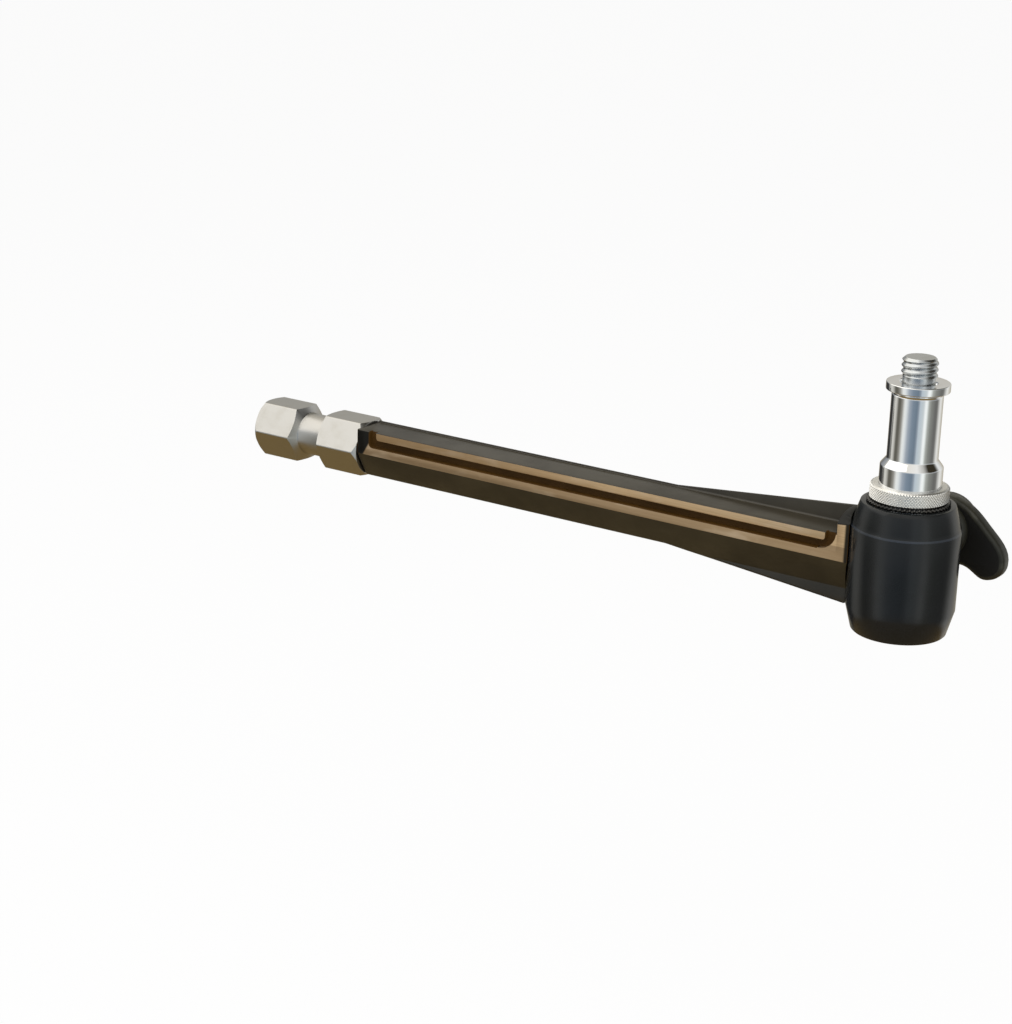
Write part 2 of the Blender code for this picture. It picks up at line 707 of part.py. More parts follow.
def wing_outline(curve):
    """Two broad wings, each the other turned half round: they drop away from the hub to a rounded tip."""
    half = [
        (WING_SPAN, -WING_DROP),
        (WING_SPAN * 0.663, WING_DROP * 0.41),
        (WING_SPAN * 0.182, WING_DROP * 1.205),
        (-WING_SPAN * 0.396, WING_DROP * 1.233),
        (-WING_SPAN * 0.765, WING_DROP * 1.589),
    ]
    ring = half + [(-x, -y) for x, y in half]
    spline = curve.splines.new("BEZIER")
    spline.bezier_points.add(len(ring) - 1)
    spline.resolution_u = WING_CURVE_STEPS
    for point, (x, y) in zip(spline.bezier_points, ring):
        point.co = (x, y, 0.0)
        point.handle_left_type = "AUTO"
        point.handle_right_type = "AUTO"
    spline.use_cyclic_u = True


def build_lock():
    """The lock behind the barrel: lug, shoe, screw, washer, wing knob, cross pin and cap."""
    lock = (BARREL_X, 0.0, LOCK_Z)
    lug = turned(
        "lock_lug",
        [
            (LOCK_R + SEAT, LUG_OUTER_Y),
            (LUG_FLANGE_R - LUG_CHAMFER, LUG_OUTER_Y),
            (LUG_FLANGE_R, LUG_OUTER_Y - LUG_CHAMFER),
            (LUG_FLANGE_R, LUG_SEAT_Y),
            (LUG_R, LUG_SEAT_Y),
            (LUG_R, LUG_INNER_Y),
            (LOCK_R + SEAT, LUG_INNER_Y),
        ],
        "dull_steel",
        AXIS_Y,
        lock,
        STEPS_MEDIUM,
        True,
    )
    rod("brake_shoe", LOCK_R, SHOE_TIP_Y, SHOE_TIP_Y + SHOE_LENGTH, "brass", AXIS_Y, lock, LUG_CHAMFER)
    screw = rod("lock_screw", LOCK_R, SCREW_TIP_Y, SCREW_END_Y, "dark_steel", AXIS_Y, lock, SCREW_TIP_CHAMFER)
    tube("thrust_washer", THRUST_R, LOCK_R + SEAT, THRUST_Y, THRUST_Y + THRUST_THICKNESS, "dull_steel", AXIS_Y,
         lock, 0.0, STEPS_MEDIUM)

    wings = slab(
        "wing_knob",
        wing_outline,
        WING_THICKNESS / 2.0 - WING_ROUND,
        Matrix.Translation((BARREL_X, WING_MID_Y, LOCK_Z)) @ UPRIGHT,
        "black_plastic",
        -WING_ROUND,
        WING_ROUND,
        WING_ROUND_STEPS,
    )
    hub = rod("knob_hub", HUB_R, HUB_FRONT_Y, HUB_BACK_Y, None, AXIS_Y, lock, HUB_CHAMFER, STEPS_MEDIUM)
    boolean(wings, hub, "UNION")
    hub_bore = rod("knob_bore", LOCK_R + SEAT, HUB_FRONT_Y - REACH, HUB_BACK_Y, None, AXIS_Y, lock)
    cap_seat = rod("knob_cap_seat", CAP_R + SEAT, CAP_FLOOR_Y, HUB_BACK_Y + REACH, None, AXIS_Y, lock,
                   steps=STEPS_MEDIUM)
    pin_at = (BARREL_X, CROSS_PIN_Y, LOCK_Z)
    rod("knob_cross_pin", CROSS_PIN_R, CROSS_PIN_START, CROSS_PIN_END, "dull_steel", AXIS_X, pin_at, SEAT / 2.0)
    pin_hole = rod("cross_pin_hole", CROSS_PIN_R + SEAT, -HUB_R - REACH, CROSS_PIN_END + SEAT, None, AXIS_X,
                   pin_at)
    cut(wings, hub_bore, cap_seat, pin_hole)
    cut(screw, pin_hole)
    cap_top = arc((0.0, HUB_BACK_Y + CAP_RISE), (CAP_R, HUB_BACK_Y), CAP_RISE / 3.0)
    turned(
        "knob_cap",
        cap_top + [(CAP_R, CAP_FLOOR_Y + SEAT), (0.0, CAP_FLOOR_Y + SEAT)],
        "black_plastic",
        AXIS_Y,
        lock,
    )
    return lug


def main():
    """Builds every piece of the arm."""
    global PIECES, CUTTERS
    clear_scene()
    PIECES, CUTTERS = make_collections()
    stud_hole = build_stud()
    screw_holes = build_barrel_screws()
    build_arm(stud_hole, screw_holes)
    build_barrel(screw_holes)
    build_spigot()
    build_lock()


main()
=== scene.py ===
"""Extension arm: the finished look of a grip arm with a hexagonal stud, a lockable spigot and a wing knob."""

from __future__ import annotations

import logging
import math
from dataclasses import dataclass, field
from enum import Enum
from typing import Any, Callable, Sequence

import bmesh
import bpy
from mathutils import Matrix, Vector

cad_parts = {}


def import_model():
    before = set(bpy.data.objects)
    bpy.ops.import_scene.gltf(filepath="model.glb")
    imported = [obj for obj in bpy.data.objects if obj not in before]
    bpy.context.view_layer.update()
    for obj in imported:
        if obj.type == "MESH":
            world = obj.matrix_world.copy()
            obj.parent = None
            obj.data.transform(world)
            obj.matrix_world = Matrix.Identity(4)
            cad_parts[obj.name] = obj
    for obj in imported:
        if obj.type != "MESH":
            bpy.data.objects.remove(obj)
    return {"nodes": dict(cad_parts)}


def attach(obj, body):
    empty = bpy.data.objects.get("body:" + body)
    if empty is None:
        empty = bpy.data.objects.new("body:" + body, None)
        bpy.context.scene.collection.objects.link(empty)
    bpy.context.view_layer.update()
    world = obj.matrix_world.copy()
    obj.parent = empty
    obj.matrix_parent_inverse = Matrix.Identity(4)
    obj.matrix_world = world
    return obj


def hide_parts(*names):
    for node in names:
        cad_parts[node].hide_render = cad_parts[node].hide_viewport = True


logging.basicConfig(level=logging.INFO, format="%(name)s: %(message)s")
LOG = logging.getLogger("extension_arm")

MM = 0.001
WELD = 0.002 * MM

Colour = tuple[float, float, float]
Profile = list[tuple[float, float]]


class Body(str, Enum):
    """The moving groups of the arm."""

    ARM = "arm"
    SPIGOT = "spigot"
    SHOE = "shoe"
    KNOB = "knob"


class Axis(Enum):
    """Which way a turned piece points."""

    X = "X"
    Y = "Y"
    Z = "Z"

    def matrix(self) -> Matrix:
        """The turn that carries +Z onto this axis."""
        if self is Axis.X:
            return Matrix.Rotation(math.radians(90.0), 4, "Y")
        if self is Axis.Y:
            return Matrix.Rotation(math.radians(-90.0), 4, "X")
        return Matrix.Identity(4)


# Shader expressions


class Value:
    """A socket, or a plain number, that can be used in Python arithmetic."""

    def __init__(self, kit: "NodeKit", source: Any) -> None:
        """Wraps a source.

        Args:
            kit: the tree that new Math nodes go into.
            source: an output socket or a number.
        """
        self.kit = kit
        self.source = source

    def _math(self, operation: str, *others: Any) -> "Value":
        """Adds a Math node on this value and the others, and returns its result."""
        node = self.kit.node("ShaderNodeMath", {"operation": operation}, [self, *others])
        return Value(self.kit, node.outputs[0])

    def __add__(self, other: Any) -> "Value":
        """Sum."""
        return self._math("ADD", other)

    def __radd__(self, other: Any) -> "Value":
        """Reflected sum."""
        return self._math("ADD", other)

    def __sub__(self, other: Any) -> "Value":
        """Difference."""
        return self._math("SUBTRACT", other)

    def __rsub__(self, other: Any) -> "Value":
        """Reflected difference."""
        return Value(self.kit, other)._math("SUBTRACT", self)

    def __mul__(self, other: Any) -> "Value":
        """Product."""
        return self._math("MULTIPLY", other)

    def __rmul__(self, other: Any) -> "Value":
        """Reflected product."""
        return self._math("MULTIPLY", other)

    def __truediv__(self, other: Any) -> "Value":
        """Quotient."""
        return self._math("DIVIDE", other)

    def __gt__(self, other: Any) -> "Value":
        """One where this is greater, else zero."""
        return self._math("GREATER_THAN", other)

    def __lt__(self, other: Any) -> "Value":
        """One where this is less, else zero."""
        return self._math("LESS_THAN", other)

    def absolute(self) -> "Value":
        """Size without sign."""
        return self._math("ABSOLUTE")

    def power(self, exponent: float) -> "Value":
        """This value raised to an exponent."""
        return self._math("POWER", exponent)

    def sine(self) -> "Value":
        """Sine of this value in radians."""
        return self._math("SINE")

    def angle_from(self, other: "Value") -> "Value":
        """Angle whose tangent is this value over the other."""
        return self._math("ARCTAN2", other)

    def between(self, low: float, high: float) -> "Value":
        """Zero at low, one at high, smooth and clamped in between."""
        node = self.kit.node(
            "ShaderNodeMapRange",
            {"interpolation_type": "SMOOTHSTEP", "clamp": True},
            [self, low, high, 0.0, 1.0],
        )
        return Value(self.kit, node.outputs[0])


class NodeKit:
    """Builds one material's or world's node tree."""

    def __init__(self, owner: Any) -> None:
        """Empties the tree.

        Args:
            owner: a material or a world.
        """
        owner.use_nodes = True
        self.tree = owner.node_tree
        self.tree.nodes.clear()

    def node(self, kind: str, settings: dict[str, Any] | None = None, inputs: Any = None) -> Any:
        """Adds a node of any type.

        Args:
            kind: the node's type name.
            settings: its properties; "stops" holds the colour stops of a ramp.
            inputs: values, sockets or Values, by position in a list or by name or index in a dict.

        Returns:
            The node.
        """
        made = self.tree.nodes.new(kind)
        for name, value in (settings or {}).items():
            if name == "stops":
                self._set_stops(made.color_ramp, value)
            else:
                setattr(made, name, value)
        pairs = enumerate(inputs) if isinstance(inputs, (list, tuple)) else (inputs or {}).items()
        for key, value in pairs:
            self.feed(made.inputs[key], value)
        return made

    def feed(self, socket: Any, value: Any) -> None:
        """Links a socket, or sets its value."""
        source = value.source if isinstance(value, Value) else value
        if isinstance(source, bpy.types.NodeSocket):
            self.tree.links.new(source, socket)
        elif source is not None:
            socket.default_value = source

    @staticmethod
    def _set_stops(ramp: Any, stops: Sequence[tuple[float, Any]]) -> None:
        """Gives a colour ramp its stops."""
        while len(ramp.elements) < len(stops):
            ramp.elements.new(1.0)
        for element, (position, colour) in zip(ramp.elements, stops):
            element.position = position
            element.color = (*colour, 1.0) if len(colour) == 3 else colour

    def place(self) -> tuple[Value, Value, Value]:
        """The object's own x, y and z at the shaded point, in metres."""
        parts = self.node("ShaderNodeSeparateXYZ", None, [self.vector()])
        return tuple(Value(self, out) for out in parts.outputs[:3])

    def vector(self) -> Any:
        """The object's own coordinates."""
        return self.node("ShaderNodeTexCoord").outputs["Object"]

    def stretched(self, scale: Colour) -> Any:
        """The object's coordinates scaled along each axis."""
        made = self.node("ShaderNodeVectorMath", {"operation": "MULTIPLY"}, [self.vector(), scale])
        return made.outputs[0]

    def joined(self, x: Any, y: Any, z: Any) -> Any:
        """A vector of three values."""
        return self.node("ShaderNodeCombineXYZ", None, [x, y, z]).outputs[0]

    def noise(self, scale: float, detail: float = 3.0, rough: float = 0.55, vector: Any = None) -> Value:
        """Noise of 0 to 1 on the object's coordinates."""
        made = self.node(
            "ShaderNodeTexNoise",
            {"noise_dimensions": "3D"},
            {"Vector": vector or self.vector(), "Scale": scale, "Detail": detail, "Roughness": rough},
        )
        return Value(self, made.outputs[0])

    def mix(self, factor: Any, first: Any, second: Any) -> Any:
        """A colour between two, by a factor."""
        made = self.node("ShaderNodeMix", {"data_type": "RGBA"})
        self.feed(made.inputs[0], factor)
        for socket, colour in ((made.inputs[6], first), (made.inputs[7], second)):
            self.feed(socket, (*colour, 1.0) if isinstance(colour, tuple) and len(colour) == 3 else colour)
        return made.outputs[2]

    def bump(self, height: Value, strength: float, distance: float) -> Any:
        """A normal from a height."""
        made = self.node(
            "ShaderNodeBump", None, {"Height": height, "Strength": strength, "Distance": distance}
        )
        return made.outputs[0]

    def principled(self, varying: dict[str, Any], constant: dict[str, Any]) -> None:
        """Ends a material in a Principled shader.

        Args:
            varying: sockets fed by the pattern.
            constant: sockets with one value all over.
        """
        shader = self.node("ShaderNodeBsdfPrincipled")
        for name, value in {**constant, **varying}.items():
            if isinstance(value, tuple) and len(value) == 3:
                value = (*value, 1.0)
            self.feed(shader.inputs[name], value)
        self.node("ShaderNodeOutputMaterial", None, [shader.outputs[0]])


# Finishes


@dataclass(frozen=True)
class Finish:
    """What every finish has: a name, the record's slot and the colour it starts from."""

    name: str
    slot: str
    colour: Colour

    def material(self) -> bpy.types.Material:
        """The finish as a material, built once."""
        made = bpy.data.materials.get(self.name)
        if made is None:
            made = bpy.data.materials.new(self.name)
            self.build(NodeKit(made))
            made.diffuse_color = (*self.colour, 1.0)
        return made

    def build(self, kit: NodeKit) -> None:
        """Adds the nodes of the finish."""
        raise NotImplementedError


@dataclass(frozen=True)
class SatinCoat(Finish):
    """Baked black coat on metal: a fine orange peel, a little dust and a warm or cool cast."""

    shade: Colour = (0.05, 0.045, 0.03)
    worn: Colour = (0.16, 0.15, 0.13)
    roughness: float = 0.38
    grain: float = 1400.0
    grain_depth: float = 0.02 * MM
    gloss: float = 0.5

    def build(self, kit: NodeKit) -> None:
        """Adds the coat's cloudy colour, scuffs and orange peel."""
        cloud = kit.noise(60.0, 4.0, 0.6).between(0.3, 0.7)
        scuff = kit.noise(420.0, 6.0, 0.7).between(0.64, 0.74)
        patch = kit.noise(95.0, 2.0, 0.5).between(0.52, 0.66)
        base = kit.mix(cloud, self.colour, self.shade)
        base = kit.mix(scuff * patch * 0.45, base, self.worn)
        rough = self.roughness + (cloud - 0.5) * 0.10 + scuff * patch * 0.12
        peel = kit.noise(self.grain, 2.0, 0.5)
        kit.principled(
            {"Base Color": base, "Roughness": rough, "Normal": kit.bump(peel, 0.35, self.grain_depth)},
            {"Metallic": 0.0, "Specular IOR Level": self.gloss},
        )


@dataclass(frozen=True)
class FacedMetal(Finish):
    """A face cut through the coat: warm metal with long cutter marks and painted light and shade on it, and coat
    left at both ends, the left end darkened as a painted shadow.
    """

    # Painted light: the metal's colour at the barrel end, brighter than at the left end.
    light: Colour = (0.60, 0.42, 0.235)
    # Painted shade: the darker colour of the lower strip.
    lower_painted_shade: Colour = (0.30, 0.205, 0.115)
    coat: Colour = (0.024, 0.019, 0.011)
    cut_from: float = 41.1 * MM
    lean: float = 0.6
    # Painted shadow on the arm's left end, beside the clamp.
    end_painted_shadow: Colour = (0.012, 0.011, 0.009)
    cut_to: float = 196.9 * MM
    fade: float = 0.35 * MM
    upper_z: float = 4.0 * MM
    roughness: float = 0.34

    def build(self, kit: NodeKit) -> None:
        """Adds the cutter marks, painted light that brightens the metal towards the barrel, painted shade on the
        lower strip, and the coated ends, the left one in painted shadow.
        """
        x, _, z = kit.place()
        marks = kit.noise(1.0, 4.0, 0.6, kit.stretched((60.0, 900.0, 2600.0)))
        cloud = kit.noise(150.0, 3.0, 0.6, kit.stretched((0.35, 1.0, 1.0)))
        # Painted light: the metal grows brighter along the arm towards the barrel.
        metal = kit.mix(x.between(self.cut_from, self.cut_to), self.colour, self.light)
        # Painted shade: the strip below upper_z is darker.
        metal = kit.mix((z < self.upper_z) * 0.75, metal, self.lower_painted_shade)
        metal = kit.mix(marks.between(0.35, 0.75) * 0.4, metal, (0.30, 0.19, 0.09))
        metal = kit.mix(cloud.between(0.5, 0.72) * 0.35, metal, (0.72, 0.58, 0.42))
        lean = x - z * self.lean
        start = lean.between(self.cut_from - self.fade, self.cut_from + self.fade)
        end = x.between(self.cut_to - self.fade, self.cut_to + self.fade)
        bare = start - end
        # Before the cut starts, the painted shadow colour; past its end, the coat.
        base = kit.mix(bare, kit.mix(start, self.end_painted_shadow, self.coat), metal)
        rough = self.roughness + (marks - 0.5) * 0.2
        kit.principled(
            {
                "Base Color": base,
                "Roughness": rough,
                "Metallic": 0.8 - bare * 0.18,
                "Normal": kit.bump(marks + cloud * 0.3, 0.3, 0.02 * MM),
            },
            {"Specular IOR Level": 0.5},
        )


@dataclass(frozen=True)
class Plated(Finish):
    """Plated or bare metal, with turning marks round an axis, light tarnish and fine scratches."""

    centre: Colour = (0.21, 0.0, 0.0)
    axis: Axis = Axis.Z
    roughness: float = 0.12
    tarnish: Colour = (0.42, 0.39, 0.32)
    tarnish_share: float = 0.25
    marks: float = 3800.0
    marks_depth: float = 0.004 * MM

    def build(self, kit: NodeKit) -> None:
        """Adds turning marks, tarnish and scratches."""
        x, y, z = kit.place()
        along = {Axis.X: x, Axis.Y: y, Axis.Z: z}[self.axis]
        rings = kit.noise(1.0, 2.0, 0.5, kit.joined(along * self.marks, 0.0, 0.0))
        cloud = kit.noise(210.0, 4.0, 0.62)
        scratch = kit.noise(1.0, 3.0, 0.7, kit.stretched((5200.0, 5200.0, 240.0))).between(0.70, 0.78)
        stain = cloud.between(0.45, 0.75) * self.tarnish_share
        base = kit.mix(stain, self.colour, self.tarnish)
        rough = self.roughness + (rings - 0.5) * 0.08 + stain * 0.25 + scratch * 0.12
        height = rings + scratch * 0.4
        kit.principled(
            {"Base Color": base, "Roughness": rough, "Normal": kit.bump(height, 0.25, self.marks_depth)},
            {"Metallic": 1.0},
        )


@dataclass(frozen=True)
class Moulded(Finish):
    """Moulded black plastic: spark-eroded grain, with patches rubbed a little shinier."""

    rubbed: Colour = (0.07, 0.068, 0.05)
    roughness: float = 0.46
    grain: float = 1900.0

    def build(self, kit: NodeKit) -> None:
        """Adds the grain, the cloudy tone and the rubbed patches."""
        cloud = kit.noise(140.0, 3.0, 0.6)
        grain = kit.noise(self.grain, 2.0, 0.6)
        rubbed = cloud.between(0.48, 0.72)
        base = kit.mix(rubbed * 0.6, self.colour, self.rubbed)
        rough = self.roughness - rubbed * 0.12 + (grain - 0.5) * 0.08
        kit.principled(
            {"Base Color": base, "Roughness": rough, "Normal": kit.bump(grain, 0.4, 0.03 * MM)},
            {"Metallic": 0.0},
        )


CAST_COAT = SatinCoat(
    "cast_black_coat", "black_casting", (0.030, 0.024, 0.013), (0.018, 0.014, 0.007),
    (0.11, 0.10, 0.08), 0.34, 1200.0, 0.03 * MM,
)
BARREL_COAT = SatinCoat(
    "barrel_black_coat", "black_barrel", (0.011, 0.012, 0.013), (0.008, 0.009, 0.009),
    (0.05, 0.05, 0.05), 0.17, 1700.0, 0.005 * MM, 0.34,
)
# Painted shade: a warm brown, duller coat that stands for the shade in the groove.
GROOVE_PAINTED_SHADE = SatinCoat(
    "groove_painted_shade_coat", "black_casting", (0.070, 0.033, 0.006), (0.052, 0.024, 0.004),
    (0.10, 0.06, 0.02), 0.62, 1200.0, 0.03 * MM, 0.12,
)
# Painted shade: a darker coat on the arm's left end and on the top beside the barrel.
END_PAINTED_SHADE = SatinCoat(
    "end_painted_shade_coat", "black_casting", (0.008, 0.007, 0.006), (0.005, 0.005, 0.004),
    (0.04, 0.04, 0.04), 0.45, 1200.0, 0.03 * MM, 0.25,
)
# Painted highlight: a lighter blue-grey coat on the barrel's narrow chamfer band.
RIM_PAINTED_HIGHLIGHT = SatinCoat(
    "barrel_rim_painted_highlight", "black_barrel", (0.026, 0.032, 0.044), (0.018, 0.022, 0.028),
    (0.10, 0.10, 0.10), 0.22, 1700.0, 0.005 * MM, 0.5,
)
FACED = FacedMetal("faced_metal", "black_casting", (0.44, 0.29, 0.15))
CHROME = Plated(
    "spigot_plate", "bright_plate", (0.88, 0.88, 0.88), roughness=0.05, tarnish_share=0.06, marks_depth=0.0015 * MM,
)
KNURL_PLATE = Plated("knurl_plate", "bright_plate", (0.90, 0.89, 0.86), roughness=0.42, tarnish_share=0.1)
THREAD_STEEL = Plated("thread_steel", "dull_steel", (0.56, 0.58, 0.59), roughness=0.26)
STUD_STEEL = Plated(
    "stud_steel", "dull_steel", (0.50, 0.49, 0.47), (0.0, 0.0, 0.0), Axis.X, 0.30, marks=2600.0,
    marks_depth=0.01 * MM,
)
LOCK_STEEL = Plated("lock_steel", "dull_steel", (0.50, 0.49, 0.47), axis=Axis.Y, roughness=0.32)
DARK_STEEL = Plated(
    "dark_steel_finish", "dark_steel", (0.085, 0.083, 0.080), roughness=0.36, tarnish=(0.14, 0.12, 0.10),
)
BRASS = Plated("turned_brass", "brass", (0.62, 0.44, 0.17), roughness=0.24, tarnish=(0.35, 0.22, 0.09))
KNOB_PLASTIC = Moulded("knob_plastic", "black_plastic", (0.014, 0.0135, 0.0080), (0.05, 0.048, 0.032))
# Painted shade: a darker, duller plastic for the wings' front faces.
KNOB_FRONT_PAINTED_SHADE = Moulded("knob_front_painted_shade", "black_plastic", (0.0035, 0.0030, 0.0022), (0.010, 0.010, 0.007), 0.6)


# Mesh tools


def object_of(name: str, mesh: bpy.types.Mesh) -> bpy.types.Object:
    """Links a mesh into the scene as an object at the origin."""
    obj = bpy.data.objects.new(name, mesh)
    bpy.context.scene.collection.objects.link(obj)
    return obj


def baked(obj: bpy.types.Object) -> bpy.types.Object:
    """Applies an object's modifiers and placement, so that its mesh alone holds its shape.

    Args:
        obj: the object to settle.

    Returns:
        The same object, at the origin, with no modifiers.
    """
    bpy.context.view_layer.update()
    graph = bpy.context.evaluated_depsgraph_get()
    mesh = bpy.data.meshes.new_from_object(obj.evaluated_get(graph))
    mesh.transform(obj.matrix_world)
    mesh.name = obj.name
    obj.modifiers.clear()
    if obj.type == "MESH":
        obj.data = mesh
        obj.matrix_world = Matrix.Identity(4)
        return obj
    name = obj.name
    bpy.data.objects.remove(obj, do_unlink=True)
    return object_of(name, mesh)


def tidied(mesh: bpy.types.Mesh, flat: float = 0.0) -> None:
    """Merges a mesh's doubles and points its faces outwards.

    Args:
        mesh: the mesh.
        flat: where positive, faces closer than this angle in degrees are joined.
    """
    shape = bmesh.new()
    shape.from_mesh(mesh)
    bmesh.ops.remove_doubles(shape, verts=shape.verts, dist=WELD)
    if flat > 0.0:
        bmesh.ops.dissolve_limit(
            shape,
            angle_limit=math.radians(flat),
            verts=shape.verts,
            edges=shape.edges,
            use_dissolve_boundaries=False,
        )
    bmesh.ops.recalc_face_normals(shape, faces=shape.faces)
    shape.to_mesh(mesh)
    shape.free()


def smooth(obj: bpy.types.Object, sharp: float = 32.0) -> bpy.types.Object:
    """Shades an object smooth, with creases kept sharp."""
    for face in obj.data.polygons:
        face.use_smooth = True
    obj.data.set_sharp_from_angle(angle=math.radians(sharp))
    return obj


def bevelled(obj: bpy.types.Object, width: float, segments: int = 2, angle: float = 32.0) -> bpy.types.Object:
    """Breaks an object's creases with a small round."""
    step = obj.modifiers.new("edge_break", "BEVEL")
    step.width = width
    step.segments = segments
    step.limit_method = "ANGLE"
    step.angle_limit = math.radians(angle)
    step.use_clamp_overlap = False
    return baked(obj)


def combined(obj: bpy.types.Object, other: bpy.types.Object, operation: str) -> bpy.types.Object:
    """Applies one Boolean and removes the other object."""
    step = obj.modifiers.new(operation, "BOOLEAN")
    step.operation = operation
    step.solver = "EXACT"
    step.object = other
    baked(obj)
    bpy.data.objects.remove(other, do_unlink=True)
    return obj


def turned(
    name: str, profile: Profile, axis: Axis = Axis.Z, at: Colour = (0.0, 0.0, 0.0), steps: int = 160
) -> bpy.types.Object:
    """A turned piece.

    Args:
        name: the object's name.
        profile: radius and height of each point, down the outer side; a closed ring where it ends off the axis.
        axis: the way it points.
        at: a point on its axis.
        steps: facets round a turn.

    Returns:
        The object, with its shape in its mesh.
    """
    shape = bmesh.new()
    points = [shape.verts.new((radius, 0.0, height)) for radius, height in profile]
    edges = [shape.edges.new(pair) for pair in zip(points, points[1:])]
    if profile[0][0] > WELD:
        edges.append(shape.edges.new((points[-1], points[0])))
    bmesh.ops.spin(
        shape,
        geom=points + edges,
        cent=(0.0, 0.0, 0.0),
        axis=(0.0, 0.0, 1.0),
        angle=math.tau,
        steps=steps,
        use_merge=True,
    )
    mesh = bpy.data.meshes.new(name)
    shape.to_mesh(mesh)
    shape.free()
    mesh.transform(Matrix.Translation(Vector(at)) @ axis.matrix())
    tidied(mesh)
    return smooth(object_of(name, mesh))


def rounded(profile: Profile, radius: float, steps: int = 4) -> Profile:
    """A profile with each inner corner replaced by a small round.

    Args:
        profile: the points in order.
        radius: how far from a corner the round begins, less where the sides are short.
        steps: points in each round.

    Returns:
        The longer profile.
    """
    made = [profile[0]]
    for before, here, after in zip(profile, profile[1:], profile[2:]):
        a, b, c = Vector(before), Vector(here), Vector(after)
        reach = min(radius, (a - b).length * 0.45, (c - b).length * 0.45)
        start = b + (a - b).normalized() * reach
        end = b + (c - b).normalized() * reach
        for i in range(steps + 1):
            t = i / steps
            point = start * (1 - t) ** 2 + b * (2 * t * (1 - t)) + end * t**2
            made.append((point.x, point.y))
    return made + [profile[-1]]


def skinned(name: str, rings: list[list[tuple[float, float, float]]], sharp: float) -> bpy.types.Object:
    """A closed skin through rings of points, flat at both ends.

    Args:
        name: the object's name.
        rings: rings with the same number of points, in order.
        sharp: the crease angle in degrees that stays sharp.

    Returns:
        The object.
    """
    shape = bmesh.new()
    made = [[shape.verts.new(point) for point in ring] for ring in rings]
    count = len(rings[0])
    for first, second in zip(made, made[1:]):
        for i in range(count):
            j = (i + 1) % count
            shape.faces.new((first[i], first[j], second[j], second[i]))
    shape.faces.new(made[0])
    shape.faces.new(made[-1])
    mesh = bpy.data.meshes.new(name)
    shape.to_mesh(mesh)
    shape.free()
    tidied(mesh)
    return smooth(object_of(name, mesh), sharp)


def box(name: str, low: Colour, high: Colour) -> bpy.types.Object:
    """A plain box between two corners."""
    rings = []
    for x in (low[0], high[0]):
        rings.append([(x, low[1], low[2]), (x, high[1], low[2]), (x, high[1], high[2]), (x, low[1], high[2])])
    return skinned(name, rings, 30.0)


class Piece:
    """Finishes and places one piece of the arm."""

    def __init__(self, obj: bpy.types.Object, finish: Finish) -> None:
        """Gives the object its finish.

        Args:
            obj: the shaped object.
            finish: what it is made of.
        """
        self.obj = obj
        self.finish = finish
        obj.data.materials.clear()
        obj.data.materials.append(finish.material())

    @classmethod
    def from_node(cls, node: str, finish: Finish, edge: float = 0.0, flat: float = 0.4) -> "Piece":
        """A refined copy of a CAD node.

        Args:
            node: the CAD node.
            finish: what it is made of.
            edge: the round on its creases, in metres.
            flat: the angle in degrees below which faces are joined.

        Returns:
            The piece, not yet placed.
        """
        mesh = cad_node(node).data.copy()
        mesh.name = node + "_dressed"
        tidied(mesh, flat)
        obj = object_of(node + "_dressed", mesh)
        if edge > 0.0:
            bevelled(obj, edge)
        return cls(smooth(obj), finish)

    def place(self, body: Body, *nodes: str) -> bpy.types.Object:
        """Lets the piece ride on a body in place of CAD nodes, and reports it."""
        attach(self.obj, body.value)
        if nodes:
            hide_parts(*nodes)
        LOG.info("%s rides on %s, %d faces", self.obj.name, body.value, len(self.obj.data.polygons))
        return self.obj


NODES: dict[str, bpy.types.Object] = {}


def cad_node(name: str) -> bpy.types.Object:
    """The CAD node of that name."""
    return NODES[name]


# Geometry-node trees


